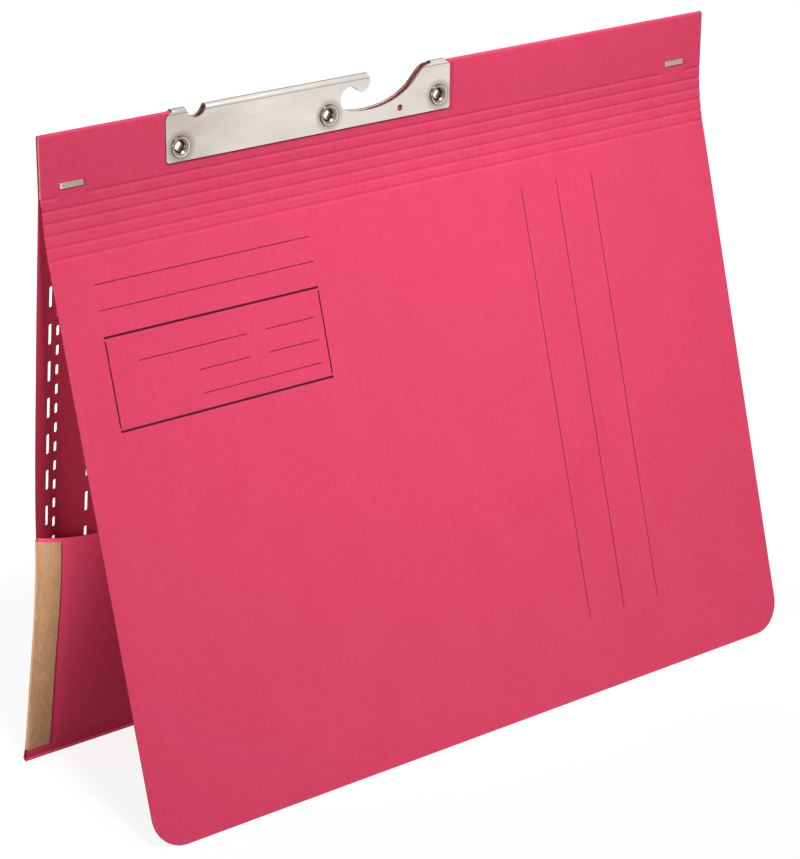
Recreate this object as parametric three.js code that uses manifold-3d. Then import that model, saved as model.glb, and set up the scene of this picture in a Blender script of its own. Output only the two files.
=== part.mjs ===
// Hanging fastener folder, standing open as a tent on its two lower edges.
// Millimetres, +Z up. X runs along the folder's width, the front cover faces -Y.
// The origin is on the standing surface, in the middle of the folder's footprint.
//
// One sheet of coloured card makes the spine, the covers and the pocket. It is folded over a stiff
// board at the spine, where a sheet metal hanger with a hook is riveted on. Below the spine the
// front of the card has six score lines, so the front cover can stand off from a thick wad of paper.
import * as THREE from "three";
import { mergeVertices } from "three/addons/utils/BufferGeometryUtils.js";
import Module from "manifold-3d";

const wasm = await Module();
wasm.setup();

const radians = THREE.MathUtils.degToRad;

// Sizes of the sheet
const folderWidth = 318;
const cardThickness = 0.45;
const coverCornerRadius = 13;
const frontPanelLength = 217.7;

// Spine: the card folded over its core board. It reaches a little below the hanger.
const spineBelowHanger = 4.5;
const coreThickness = 1.2;
const coreSideInset = 0.3;
const coreCutBack = 1.2;
const layerClearance = 0.05;
const spineFoldRadius = 1.0;

// Score lines of the front cover
const scoreCount = 6;
const scorePitch = 4.42;
const scoreGap = 0.3;
const scoreChamfer = 0.13;

// How far each cover stands open from the plane of the spine
const frontOpening = radians(16.1);
const backOpening = radians(6.43);

// Hanger: nickel-plated sheet folded over the spine. Its outline is measured along X from its own
// left end, and along Z from the top edge of the spine.
const hangerLeftFromEdge = 52.4;
const hangerLength = 131.2;
const hangerHeight = 18.8;
const hangerThickness = 0.6;
const hangerLowerCorner = 1.1;
const hangerLeftCorner = 3.0;
const hangerRightCorner = 1.8;
const hangerCornerDrop = 0.3;

// Round notch near the hanger's left end
const notchCentreX = 13.4;
const notchRadius = 4.35;
const notchCentreZ = 0.85;

// Hook: its point is a round nose, its throat is a circle, and a long ramp leads in from the right
const noseCentreX = 88.5;
const noseCentreZ = -2.1;
const noseRadius = 4.0;
const throatCentreX = 83.2;
const throatCentreZ = -7.9;
const throatRadius = 4.65;
const throatStart = radians(48);
const throatEnd = radians(258);
const rampMiddle = { x: 113.6, z: -5.6 };
const rampTopX = 122.2;
const rampSag = 2.4;
const rampCrest = 2.6;

// Hollow rivets through the hanger, and one small punched hole in its front leg
const rivetPlaces = [
  { name: "rivet_left", x: 6.35, aboveFoot: 5.3 },
  { name: "rivet_middle", x: 73.3, aboveFoot: 6.1 },
  { name: "rivet_right", x: 126.0, aboveFoot: 5.8 },
];
const rivetHoleRadius = 3.1;
const rivetClearance = 0.15;
const rivetWall = 0.4;
const rivetMouthRadius = 4.1;
const rivetClinchRadius = 3.9;
const rivetFlange = 0.35;
const funnelDepth = 0.6;
const punchedHole = { x: 106.8, aboveFoot: 3.8, radius: 1.2 };

// Flat wire staples that close the spine at its two ends
const staplePlaces = [
  { name: "staple_left", side: -1, fromEdge: 12.7 },
  { name: "staple_right", side: 1, fromEdge: 14.8 },
];
const stapleAboveScore = 4.1;
const stapleCrown = 9.8;
const stapleWidth = 2.1;
const stapleThickness = 0.45;
const stapleClinch = 3.6;
const stapleBend = 0.3;
const stapleClearance = 0.1;

// Slots for plug-in tabs along the left edge of the back cover, measured down from the spine's top
const longSlot = { length: 8.3, width: 1.35, pitch: 14.67 };
const shortSlot = { length: 4.2, width: 1.35, pitch: 7.78 };
const slotColumns = [
  { slot: longSlot, fromLeft: 6.0, first: 42.6 },
  { slot: shortSlot, fromLeft: 9.4, first: 65.4 },
  { slot: longSlot, fromLeft: 24.0, first: 41.8 },
];
const slotsAboveFoot = 26;

// Pocket: the foot of the back cover folded up, and tape over its two side edges. The tape holds the
// sides down, and from there to the middle its mouth stands off from the back cover.
const pocketDepth = 98.5;
const pocketGap = 0.8;
const pocketStandOff = 12;
const pocketRise = 19;
const pocketRows = 8;
const tapeThickness = 0.15;
const tapeClearance = 0.1;
const tapeFrontWidth = 9.7;
const tapeBackWidth = 8;
const tapeBelowPocketTop = 1.5;
const tapeAboveFold = 5.5;
const pocketStations = [0, 1.5, 3, 5, 7, tapeFrontWidth, 12, 15, 19, 24, 31, 41, 56, 76, 101, 131];

// Paper fastener on the back cover: a strip with two prongs, a cover bar and two sliders
const fastenerFromTop = 50;
const holeSpacing = 80;
const tinThickness = 0.3;
const stripLength = 100;
const stripWidth = 9;
const prongWidth = 6.5;
const prongArm = 30;
const prongBend = 0.35;
const fastenerClearance = 0.25;
const barLength = 108;
const barWidth = 9;
const barRim = 0.65;
const barHeight = 0.85;
const sliderLength = 8;
const sliderRibRadius = 0.22;
const sliderLip = 1.3;
const sliderFromMiddle = 24;

// Sizes that follow from the ones above
const spineHeight = hangerHeight + spineBelowHanger;
const stapleCentreZ = stapleAboveScore - spineHeight;
const spineThickness = 2 * (cardThickness + layerClearance) + coreThickness;
const halfWidth = folderWidth / 2;
const hangerX = hangerLeftFromEdge - halfWidth;
const hangerFront = -layerClearance - hangerThickness;
const hangerBack = spineThickness + layerClearance + hangerThickness;
const halfCard = cardThickness / 2;

// How far a cutting shape runs past what it cuts, and how finely round edges are stepped
const cutMargin = 4;
const roundSegments = 8;
const holeSegments = 8;
const slotSegments = 2;
const latheSegments = 20;

// Materials
const cardMaterial = new THREE.MeshStandardMaterial({ color: 0xd64a6c, roughness: 0.82, metalness: 0 });
const boardMaterial = new THREE.MeshStandardMaterial({ color: 0xa89a8c, roughness: 0.95, metalness: 0 });
const nickelMaterial = new THREE.MeshStandardMaterial({ color: 0xd8d4ce, roughness: 0.3, metalness: 1 });
const wireMaterial = new THREE.MeshStandardMaterial({ color: 0xb8b4a8, roughness: 0.4, metalness: 1 });
const tinMaterial = new THREE.MeshStandardMaterial({ color: 0xc9c6c0, roughness: 0.35, metalness: 1 });
const tapeMaterial = new THREE.MeshStandardMaterial({ color: 0xb98f68, roughness: 0.9, metalness: 0 });

// A geometry with shared vertices and nothing but positions.
function bare(geometry) {
  const copy = geometry.clone();
  copy.deleteAttribute("normal");
  copy.deleteAttribute("uv");
  return mergeVertices(copy, 1e-5);
}

function toSolid(geometry) {
  const shared = bare(geometry);
  return new wasm.Manifold(
    new wasm.Mesh({
      numProp: 3,
      vertProperties: shared.getAttribute("position").array,
      triVerts: new Uint32Array(shared.index.array),
    }),
  );
}

function toGeometry(solid) {
  const mesh = solid.getMesh();
  const geometry = new THREE.BufferGeometry();
  geometry.setAttribute("position", new THREE.BufferAttribute(mesh.vertProperties, 3));
  geometry.setIndex(new THREE.BufferAttribute(mesh.triVerts, 1));
  const flat = geometry.toNonIndexed();
  flat.computeVertexNormals();
  return flat;
}

function without(geometry, ...cutters) {
  const cut = cutters.reduce((rest, cutter) => rest.subtract(toSolid(cutter)), toSolid(geometry));
  return toGeometry(cut);
}

function together(first, ...others) {
  return toGeometry(others.reduce((sum, other) => sum.add(toSolid(other)), toSolid(first)));
}

function common(first, second) {
  return toGeometry(toSolid(first).intersect(toSolid(second)));
}

function named(name, geometry, material) {
  const mesh = new THREE.Mesh(geometry, material);
  mesh.name = name;
  return mesh;
}

// A flat plate: the shape's x and y become X and Z, and it is as thick as depth from frontY back.
function plate(shape, depth, frontY, curveSegments = roundSegments) {
  const settings = { depth, bevelEnabled: false, curveSegments };
  const geometry = new THREE.ExtrudeGeometry(shape, settings);
  return geometry.rotateX(Math.PI / 2).translate(0, frontY + depth, 0);
}

// A profile drawn in Y and Z, drawn out along X and centred on middleX.
function alongX(profile, length, middleX = 0) {
  const settings = { depth: length, bevelEnabled: false, curveSegments: roundSegments / 2 };
  const geometry = new THREE.ExtrudeGeometry(profile, settings);
  const turn = new THREE.Matrix4().makeBasis(
    new THREE.Vector3(0, 1, 0),
    new THREE.Vector3(0, 0, 1),
    new THREE.Vector3(1, 0, 0),
  );
  return geometry.applyMatrix4(turn).translate(middleX - length / 2, 0, 0);
}

// A profile drawn in X and Y, drawn out along Z and centred on middleZ.
function alongZ(profile, length, middleZ) {
  const settings = { depth: length, bevelEnabled: false, curveSegments: roundSegments / 4 };
  return new THREE.ExtrudeGeometry(profile, settings).translate(0, 0, middleZ - length / 2);
}

// A thin sheet between two grids of points, one for each of its faces.
function sheetBetween(outer, inner) {
  const rows = outer.length;
  const columns = outer[0].length;
  const points = [...outer.flat(), ...inner.flat()];
  const back = rows * columns;
  const corners = [];
  const quad = (a, b, c, d) => corners.push(a, b, c, a, c, d);
  for (let i = 0; i < rows - 1; i++) {
    for (let j = 0; j < columns - 1; j++) {
      const a = i * columns + j;
      const d = a + columns;
      quad(a, a + 1, d + 1, d);
      quad(back + d, back + d + 1, back + a + 1, back + a);
    }
    const first = i * columns;
    const last = first + columns - 1;
    quad(first, first + columns, back + first + columns, back + first);
    quad(last + columns, last, back + last, back + last + columns);
  }
  for (let j = 0; j < columns - 1; j++) {
    const last = (rows - 1) * columns + j;
    quad(j + 1, j, back + j, back + j + 1);
    quad(last, last + 1, back + last + 1, back + last);
  }
  const geometry = new THREE.BufferGeometry();
  geometry.setAttribute("position", new THREE.Float32BufferAttribute(points.flat(), 3));
  geometry.setIndex(corners);
  return toGeometry(toSolid(geometry));
}

function rectangle(left, bottom, right, top) {
  const shape = new THREE.Shape();
  shape.moveTo(left, bottom);
  shape.lineTo(right, bottom);
  shape.lineTo(right, top);
  shape.lineTo(left, top);
  shape.closePath();
  return shape;
}

function disc(x, y, radius) {
  const shape = new THREE.Shape();
  shape.absarc(x, y, radius, 0, 2 * Math.PI, false);
  return shape;
}

// A folded sheet seen from its end: two legs that reach down to bottomZ, joined over the top.
function foldedSheet(front, back, thickness, outerRadius, topZ, bottomZ) {
  const innerRadius = outerRadius - thickness;
  const shape = new THREE.Shape();
  shape.moveTo(front, bottomZ);
  shape.lineTo(front, topZ - outerRadius);
  shape.absarc(front + outerRadius, topZ - outerRadius, outerRadius, Math.PI, Math.PI / 2, true);
  shape.absarc(back - outerRadius, topZ - outerRadius, outerRadius, Math.PI / 2, 0, true);
  shape.lineTo(back, bottomZ);
  shape.lineTo(back - thickness, bottomZ);
  shape.lineTo(back - thickness, topZ - outerRadius);
  shape.absarc(back - outerRadius, topZ - outerRadius, innerRadius, 0, Math.PI / 2, false);
  shape.absarc(front + outerRadius, topZ - outerRadius, innerRadius, Math.PI / 2, Math.PI, false);
  shape.lineTo(front + thickness, bottomZ);
  shape.closePath();
  return shape;
}

// Where the round nose of the hook meets the level of the spine's top edge.
const noseStart = Math.asin(-noseCentreZ / noseRadius);

// The edge of the hook's opening, from the nose round the throat and up the ramp. The board between
// the metal legs is cut back by grow, so its opening is that much wider all round.
function followHook(shape, grow) {
  const throat = throatRadius + grow;
  const rampStartX = throatCentreX + throat * Math.cos(throatEnd);
  const rampStartZ = throatCentreZ + throat * Math.sin(throatEnd);
  const lower = rampMiddle.x - rampStartX;
  const upper = rampTopX - rampMiddle.x;
  const sideways = hangerX + 0.7 * grow;
  const down = -0.7 * grow;
  shape.absarc(hangerX + noseCentreX, noseCentreZ, noseRadius - grow, noseStart, -Math.PI / 2, true);
  shape.absarc(hangerX + throatCentreX, throatCentreZ, throat, throatStart, throatEnd, false);
  shape.bezierCurveTo(
    hangerX + rampStartX + 0.4 * lower,
    rampStartZ - rampSag,
    sideways + rampStartX + 0.77 * lower,
    rampStartZ + down,
    sideways + rampMiddle.x,
    rampMiddle.z + down,
  );
  shape.bezierCurveTo(
    sideways + rampMiddle.x + 0.3 * upper,
    rampMiddle.z + rampCrest + down,
    sideways + rampMiddle.x + 0.5 * upper,
    down,
    hangerX + rampTopX + grow,
    down / 2,
  );
}

function hookOpening(grow) {
  const radius = noseRadius - grow;
  const startX = hangerX + noseCentreX + radius * Math.cos(noseStart);
  const shape = new THREE.Shape();
  shape.moveTo(startX, cutMargin);
  shape.lineTo(startX, noseCentreZ + radius * Math.sin(noseStart));
  followHook(shape, grow);
  shape.lineTo(hangerX + rampTopX + grow, cutMargin);
  shape.closePath();
  return shape;
}

// The hanger seen from the front, its top drawn past the fold.
function hangerOutline() {
  const left = hangerX;
  const right = hangerX + hangerLength;
  const quarter = Math.PI / 2;
  const low = hangerLowerCorner;
  const lowZ = low - hangerHeight;
  const notchAngle = Math.asin(notchCentreZ / notchRadius);
  const notchHalf = notchRadius * Math.cos(notchAngle);
  const notchX = left + notchCentreX;
  const ramp = new THREE.Shape();
  followHook(ramp, 0);
  const shape = new THREE.Shape();
  shape.moveTo(left + low, -hangerHeight);
  shape.absarc(right - low, lowZ, low, -quarter, 0, false);
  shape.absarc(
    right - hangerRightCorner, -hangerRightCorner - hangerCornerDrop, hangerRightCorner, 0, quarter, false,
  );
  shape.lineTo(right - hangerRightCorner, cutMargin);
  shape.lineTo(left + rampTopX, cutMargin);
  for (const point of ramp.getPoints(roundSegments).reverse()) shape.lineTo(point.x, point.y);
  shape.lineTo(left + noseCentreX + noseRadius * Math.cos(noseStart), cutMargin);
  shape.lineTo(notchX + notchHalf, cutMargin);
  shape.absarc(notchX, notchCentreZ, notchRadius, -notchAngle, Math.PI + notchAngle, true);
  shape.lineTo(notchX - notchHalf, cutMargin);
  shape.lineTo(left + hangerLeftCorner, cutMargin);
  shape.absarc(
    left + hangerLeftCorner, -hangerLeftCorner - hangerCornerDrop, hangerLeftCorner, quarter, Math.PI, false,
  );
  shape.absarc(left + low, lowZ, low, Math.PI, 3 * quarter, false);
  shape.closePath();
  return shape;
}

function notchOpening(grow) {
  return disc(hangerX + notchCentreX, notchCentreZ, notchRadius + grow);
}

// Round holes for the rivets, through everything.
function rivetHoles() {
  const depth = hangerBack - hangerFront + 2 * cutMargin;
  return rivetPlaces.map(({ x, aboveFoot }) => {
    const hole = disc(hangerX + x, aboveFoot - hangerHeight, rivetHoleRadius);
    return plate(hole, depth, hangerFront - cutMargin, holeSegments);
  });
}

// Slits for the legs of the staples.
function stapleSlits() {
  const halfSlit = stapleThickness / 2 + stapleClearance;
  const height = stapleWidth + 2 * stapleClearance;
  return staplePlaces.flatMap(({ side, fromEdge }) =>
    [-1, 1].map((leg) => {
      const x = side * (halfWidth - fromEdge) + (leg * (stapleCrown - stapleThickness)) / 2;
      const slit = rectangle(x - halfSlit, -cutMargin, x + halfSlit, spineThickness + cutMargin);
      return alongZ(slit, height, stapleCentreZ);
    }),
  );
}

// Everything that is punched through the card and its core board.
function spineCutters(grow) {
  const depth = spineThickness + 2 * cutMargin;
  return [
    plate(hookOpening(grow), depth, -cutMargin),
    plate(notchOpening(grow), depth, -cutMargin),
    ...rivetHoles(),
    ...stapleSlits(),
  ];
}

function spineCard() {
  const bottom = -spineHeight + scoreGap / 2;
  const fold = foldedSheet(0, spineThickness, cardThickness, spineFoldRadius, 0, bottom);
  return without(alongX(fold, folderWidth), ...spineCutters(0));
}

function coreBoard() {
  const coreTop = -spineFoldRadius - layerClearance;
  const front = cardThickness + layerClearance;
  const right = halfWidth - coreSideInset;
  const outline = rectangle(-right, -spineHeight + scoreGap, right, coreTop);
  return without(plate(outline, coreThickness, front), ...spineCutters(coreCutBack));
}

function hanger() {
  const outerRadius = spineFoldRadius + layerClearance + hangerThickness;
  const topZ = layerClearance + hangerThickness;
  const bottom = -hangerHeight - cutMargin;
  const fold = foldedSheet(hangerFront, hangerBack, hangerThickness, outerRadius, topZ, bottom);
  const sheet = alongX(fold, hangerLength + 2 * cutMargin, hangerX + hangerLength / 2);
  const depth = hangerBack - hangerFront + 2 * cutMargin;
  const outline = plate(hangerOutline(), depth, hangerFront - cutMargin);
  const holeZ = punchedHole.aboveFoot - hangerHeight;
  const hole = disc(hangerX + punchedHole.x, holeZ, punchedHole.radius);
  const punch = plate(hole, cutMargin + hangerThickness, hangerFront - cutMargin, holeSegments / 2);
  return without(common(sheet, outline), ...rivetHoles(), punch);
}

// A hollow rivet: a funnel mouth on the front leg, a tube, and a rolled rim on the back leg.
function rivet() {
  const shank = rivetHoleRadius - rivetClearance;
  const bore = shank - rivetWall;
  const seatFront = hangerFront - layerClearance;
  const seatBack = hangerBack + layerClearance;
  const rimBack = seatBack + rivetFlange;
  const profile = new THREE.Path();
  profile.moveTo(bore, funnelDepth);
  profile.quadraticCurveTo(bore, seatFront, rivetMouthRadius - rivetWall, seatFront - rivetFlange);
  profile.lineTo(rivetMouthRadius, seatFront - rivetFlange / 2);
  profile.lineTo(rivetMouthRadius, seatFront);
  profile.lineTo(shank, seatFront);
  profile.lineTo(shank, seatBack);
  profile.lineTo(rivetClinchRadius, seatBack);
  profile.quadraticCurveTo(rivetClinchRadius, rimBack, shank + rivetWall, rimBack);
  profile.quadraticCurveTo(bore, rimBack, bore, seatBack);
  profile.lineTo(bore, funnelDepth);
  return new THREE.LatheGeometry(profile.getPoints(4), latheSegments);
}

// A staple of flat wire: the crown in front, the legs through the spine and clinched inwards behind.
function staple() {
  const half = stapleCrown / 2;
  const crownBack = -layerClearance;
  const crownFront = crownBack - stapleThickness;
  const clinchFront = spineThickness + layerClearance;
  const clinchBack = clinchFront + stapleThickness;
  const bend = stapleBend;
  const shape = new THREE.Shape();
  shape.moveTo(-half + bend, crownFront);
  shape.lineTo(half - bend, crownFront);
  shape.absarc(half - bend, crownFront + bend, bend, -Math.PI / 2, 0, false);
  shape.lineTo(half, clinchBack);
  shape.lineTo(half - stapleClinch, clinchBack);
  shape.lineTo(half - stapleClinch, clinchFront);
  shape.lineTo(half - stapleThickness, clinchFront);
  shape.lineTo(half - stapleThickness, crownBack);
  shape.lineTo(-half + stapleThickness, crownBack);
  shape.lineTo(-half + stapleThickness, clinchFront);
  shape.lineTo(-half + stapleClinch, clinchFront);
  shape.lineTo(-half + stapleClinch, clinchBack);
  shape.lineTo(-half, clinchBack);
  shape.absarc(-half + bend, crownFront + bend, bend, Math.PI, 1.5 * Math.PI, false);
  shape.closePath();
  return alongZ(shape, stapleWidth, 0);
}

// One stretch of card between two score lines, hanging down from its own score. Its outer edges
// are rolled off by the creasing rule.
function scoredStrip() {
  const top = -scoreGap / 2;
  const bottom = -scorePitch + scoreGap / 2;
  const profile = new THREE.Shape();
  profile.moveTo(halfCard, bottom);
  profile.lineTo(halfCard, top);
  profile.lineTo(scoreChamfer - halfCard, top);
  profile.lineTo(-halfCard, top - scoreChamfer);
  profile.lineTo(-halfCard, bottom + scoreChamfer);
  profile.lineTo(scoreChamfer - halfCard, bottom);
  profile.closePath();
  return alongX(profile, folderWidth);
}

// A cover's outline, hanging down from its score.
function coverOutline(length) {
  return rectangle(-halfWidth, -length, halfWidth, -scoreGap / 2);
}

// The front panel, with the corners at its foot rounded.
function frontPanel() {
  const r = coverCornerRadius;
  const foot = -frontPanelLength;
  const shape = new THREE.Shape();
  shape.moveTo(-halfWidth, -scoreGap / 2);
  shape.lineTo(-halfWidth, foot + r);
  shape.absarc(-halfWidth + r, foot + r, r, Math.PI, 1.5 * Math.PI, false);
  shape.absarc(halfWidth - r, foot + r, r, 1.5 * Math.PI, 2 * Math.PI, false);
  shape.lineTo(halfWidth, -scoreGap / 2);
  shape.closePath();
  return plate(shape, cardThickness, -halfCard);
}

// An upright slot with round ends, its top end at topZ.
function slotShape(x, topZ, { length, width }) {
  const r = width / 2;
  const shape = new THREE.Shape();
  shape.absarc(x, topZ - r, r, 0, Math.PI, false);
  shape.absarc(x, topZ - length + r, r, Math.PI, 2 * Math.PI, false);
  shape.closePath();
  return shape;
}

// A column of slots that ends above the foot of a cover of this length.
function slotColumn({ slot, fromLeft, first }, coverLength) {
  const firstZ = spineHeight - first;
  const room = coverLength + firstZ - slot.length - slotsAboveFoot;
  const count = 1 + Math.floor(room / slot.pitch);
  return Array.from({ length: count }, (_, k) =>
    slotShape(fromLeft - halfWidth, firstZ - k * slot.pitch, slot),
  );
}

// The slit that a prong passes through, with clearance all round.
function prongSlit(side) {
  const x = (side * holeSpacing) / 2;
  const half = prongWidth / 2 + fastenerClearance;
  const slit = tinThickness / 2 + fastenerClearance;
  return rectangle(x - slit, fastenerZ - half, x + slit, fastenerZ + half);
}

const fastenerZ = spineHeight - fastenerFromTop;

function backPanel(length) {
  const punched = [
    ...slotColumns.flatMap((column) => slotColumn(column, length)),
    prongSlit(-1),
    prongSlit(1),
  ];
  const cutters = punched.map((shape) => plate(shape, 3 * cardThickness, -3 * halfCard, slotSegments));
  return without(plate(coverOutline(length), cardThickness, -halfCard), ...cutters);
}

// The pocket's flap with the round fold at its foot, which ends just below the back panel.
const foldRadius = (2 * cardThickness + pocketGap) / 2;

// How far the flap's leg stands off at a place x across and at a share up of its height.
function standOff(x, up) {
  const fromEdge = Math.max(0, halfWidth - Math.abs(x));
  return pocketStandOff * (1 - Math.exp(-fromEdge / pocketRise)) * up;
}

function pocketFlap(foldZ) {
  const front = halfCard - 2 * foldRadius;
  const middle = halfCard - foldRadius;
  const legHeight = pocketDepth - foldRadius;
  const left = pocketStations.map((fromEdge) => fromEdge - halfWidth);
  const across = [...left, 0, ...left.toReversed().map((x) => -x)];
  const face = (inwards) =>
    across.map((x) => {
      const leg = Array.from({ length: pocketRows }, (_, k) => {
        const up = 1 - k / pocketRows;
        return [x, front + inwards - standOff(x, up), foldZ + up * legHeight];
      });
      const fold = Array.from({ length: roundSegments + 1 }, (_, k) => {
        const angle = Math.PI * (1 + k / roundSegments);
        const radius = foldRadius - inwards;
        return [x, middle + radius * Math.cos(angle), foldZ + radius * Math.sin(angle)];
      });
      return [...leg, ...fold];
    });
  return sheetBetween(face(0), face(cardThickness));
}

// Tape over one side edge of the pocket: on the flap's face, round the edge, and on the back.
function pocketTape(side, foldZ) {
  const legHeight = pocketDepth - foldRadius;
  const foot = (tapeAboveFold - foldRadius) / legHeight;
  const head = 1 - tapeBelowPocketTop / legHeight;
  const between = Array.from({ length: pocketRows - 1 }, (_, k) => (k + 1) / pocketRows);
  const heights = [foot, ...between, head];
  const onFlap = pocketStations.filter((fromEdge) => fromEdge <= tapeFrontWidth).reverse();
  const flapFront = halfCard - 2 * foldRadius - tapeClearance;
  const face = (outwards) => {
    const edgeX = halfWidth + tapeClearance + outwards;
    const frontY = flapFront - outwards;
    const backY = halfCard + tapeClearance + outwards;
    const path = [
      ...onFlap.map((fromEdge) => [halfWidth - fromEdge, frontY]),
      [edgeX, frontY],
      [edgeX, backY],
      [halfWidth - tapeBackWidth, backY],
    ];
    return path.map(([x, y]) =>
      heights.map((up) => {
        const forward = y === frontY ? standOff(x, up) : 0;
        return [side * x, y - forward, foldZ + up * legHeight];
      }),
    );
  };
  const [outer, inner] = [face(tapeThickness), face(0)];
  return side < 0 ? sheetBetween(outer, inner) : sheetBetween(inner, outer);
}

// Heights of the fastener's layers above the inside face of the back cover, which faces -Y.
const insideFace = -halfCard;
const barBottom = insideFace - barHeight;
const barTop = barBottom - tinThickness;
const prongBottom = barTop - fastenerClearance;
const prongTop = prongBottom - tinThickness;
const sliderBottom = prongTop - fastenerClearance;
const sliderTop = sliderBottom - tinThickness;
const sliderHalfWidth = barWidth / 2 + fastenerClearance + tinThickness;

// One prong of the fastener: it rises from the strip through the card and the bar, is folded over
// towards the middle, and has a round tip.
function prong(side) {
  const half = prongWidth / 2;
  const x = (side * holeSpacing) / 2;
  const outer = x + (side * tinThickness) / 2;
  const inner = x - (side * tinThickness) / 2;
  const tip = x - side * prongArm;
  const root = halfCard + tapeClearance + tinThickness;
  const bent = new THREE.Shape();
  bent.moveTo(outer, root);
  bent.lineTo(outer, prongTop + prongBend);
  bent.lineTo(outer - side * prongBend, prongTop);
  bent.lineTo(tip, prongTop);
  bent.lineTo(tip, prongBottom);
  bent.lineTo(inner, prongBottom);
  bent.lineTo(inner, root);
  bent.closePath();
  const plan = new THREE.Shape();
  plan.moveTo(x + side * cutMargin, fastenerZ - half);
  plan.lineTo(tip + side * half, fastenerZ - half);
  plan.absarc(tip + side * half, fastenerZ, half, -Math.PI / 2, Math.PI / 2, side > 0);
  plan.lineTo(x + side * cutMargin, fastenerZ + half);
  plan.closePath();
  const depth = root - prongTop + 2 * cutMargin;
  return common(alongZ(bent, prongWidth, fastenerZ), plate(plan, depth, prongTop - cutMargin));
}

function stadium(length, width, middleZ) {
  const r = width / 2;
  const shape = new THREE.Shape();
  shape.absarc(length / 2 - r, middleZ, r, -Math.PI / 2, Math.PI / 2, false);
  shape.absarc(-length / 2 + r, middleZ, r, Math.PI / 2, 1.5 * Math.PI, false);
  shape.closePath();
  return shape;
}

function prongStrip() {
  const base = plate(stadium(stripLength, stripWidth, fastenerZ), tinThickness, halfCard + tapeClearance);
  return together(base, prong(-1), prong(1));
}

// The cover bar: a shallow channel with round ends and a slit at each prong.
function coverBar() {
  const half = barWidth / 2;
  const channel = new THREE.Shape();
  channel.moveTo(barBottom, fastenerZ - half);
  channel.lineTo(barBottom, fastenerZ + half);
  channel.lineTo(barBottom - barRim, fastenerZ + half);
  channel.lineTo(barBottom - barRim, fastenerZ + half - tinThickness);
  channel.lineTo(barTop, fastenerZ + half - 2 * tinThickness);
  channel.lineTo(barTop, fastenerZ - half + 2 * tinThickness);
  channel.lineTo(barBottom - barRim, fastenerZ - half + tinThickness);
  channel.lineTo(barBottom - barRim, fastenerZ - half);
  channel.closePath();
  const plan = plate(stadium(barLength, barWidth, fastenerZ), 2 * cutMargin, barBottom - cutMargin);
  const slits = [-1, 1].map((side) => plate(prongSlit(side), 2 * cutMargin, barBottom - cutMargin));
  return without(common(alongX(channel, barLength), plan), ...slits);
}

// A slider: a sleeve round the bar and the prong, open underneath, with a grip rib across it.
function slider() {
  const outer = sliderHalfWidth;
  const inner = outer - tinThickness;
  const lipTop = barBottom + fastenerClearance;
  const lipBottom = lipTop + tinThickness;
  const sleeve = new THREE.Shape();
  sleeve.moveTo(sliderTop, fastenerZ - outer);
  sleeve.lineTo(sliderTop, fastenerZ + outer);
  sleeve.lineTo(lipBottom, fastenerZ + outer);
  sleeve.lineTo(lipBottom, fastenerZ + inner - sliderLip);
  sleeve.lineTo(lipTop, fastenerZ + inner - sliderLip);
  sleeve.lineTo(lipTop, fastenerZ + inner);
  sleeve.lineTo(sliderBottom, fastenerZ + inner);
  sleeve.lineTo(sliderBottom, fastenerZ - inner);
  sleeve.lineTo(lipTop, fastenerZ - inner);
  sleeve.lineTo(lipTop, fastenerZ - inner + sliderLip);
  sleeve.lineTo(lipBottom, fastenerZ - inner + sliderLip);
  sleeve.lineTo(lipBottom, fastenerZ - outer);
  sleeve.closePath();
  const rib = new THREE.Shape();
  rib.absarc(0, sliderTop, sliderRibRadius, 0, 2 * Math.PI, false);
  return together(alongX(sleeve, sliderLength), alongZ(rib, 2 * inner, fastenerZ));
}

const folder = new THREE.Group();

// Spine
folder.add(named("spine_card", spineCard(), cardMaterial));
folder.add(named("spine_core_board", coreBoard(), boardMaterial));
folder.add(named("hanger_rail", hanger(), nickelMaterial));
for (const { name, x, aboveFoot } of rivetPlaces) {
  const mesh = named(name, rivet(), nickelMaterial);
  mesh.position.set(hangerX + x, 0, aboveFoot - hangerHeight);
  folder.add(mesh);
}
for (const { name, side, fromEdge } of staplePlaces) {
  const mesh = named(name, staple(), wireMaterial);
  mesh.position.set(side * (halfWidth - fromEdge), 0, stapleCentreZ);
  folder.add(mesh);
}

// Front cover: five strips and a panel, each hanging from its own score and turned a little
// further out than the one above.
let carrier = folder;
for (let k = 1; k <= scoreCount; k++) {
  const score = new THREE.Group();
  score.name = `front_score_${k}`;
  score.position.set(0, k === 1 ? halfCard : 0, k === 1 ? -spineHeight : -scorePitch);
  score.rotation.x = -frontOpening / scoreCount;
  carrier.add(score);
  if (k < scoreCount) score.add(named(`front_strip_${k}`, scoredStrip(), cardMaterial));
  carrier = score;
}
carrier.add(named("front_cover_panel", frontPanel(), cardMaterial));

// Back cover: as long as it must be for both covers to stand on one level surface.
const stripAngles = Array.from({ length: scoreCount - 1 }, (_, k) => ((k + 1) * frontOpening) / scoreCount);
const stripDrop = stripAngles.reduce((sum, angle) => sum + scorePitch * Math.cos(angle), 0);
const frontDrop =
  stripDrop + frontPanelLength * Math.cos(frontOpening) + halfCard * Math.sin(frontOpening);
const foldDrop = foldRadius + foldRadius * Math.sin(backOpening);
const foldZ = -(frontDrop - foldDrop) / Math.cos(backOpening);

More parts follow.
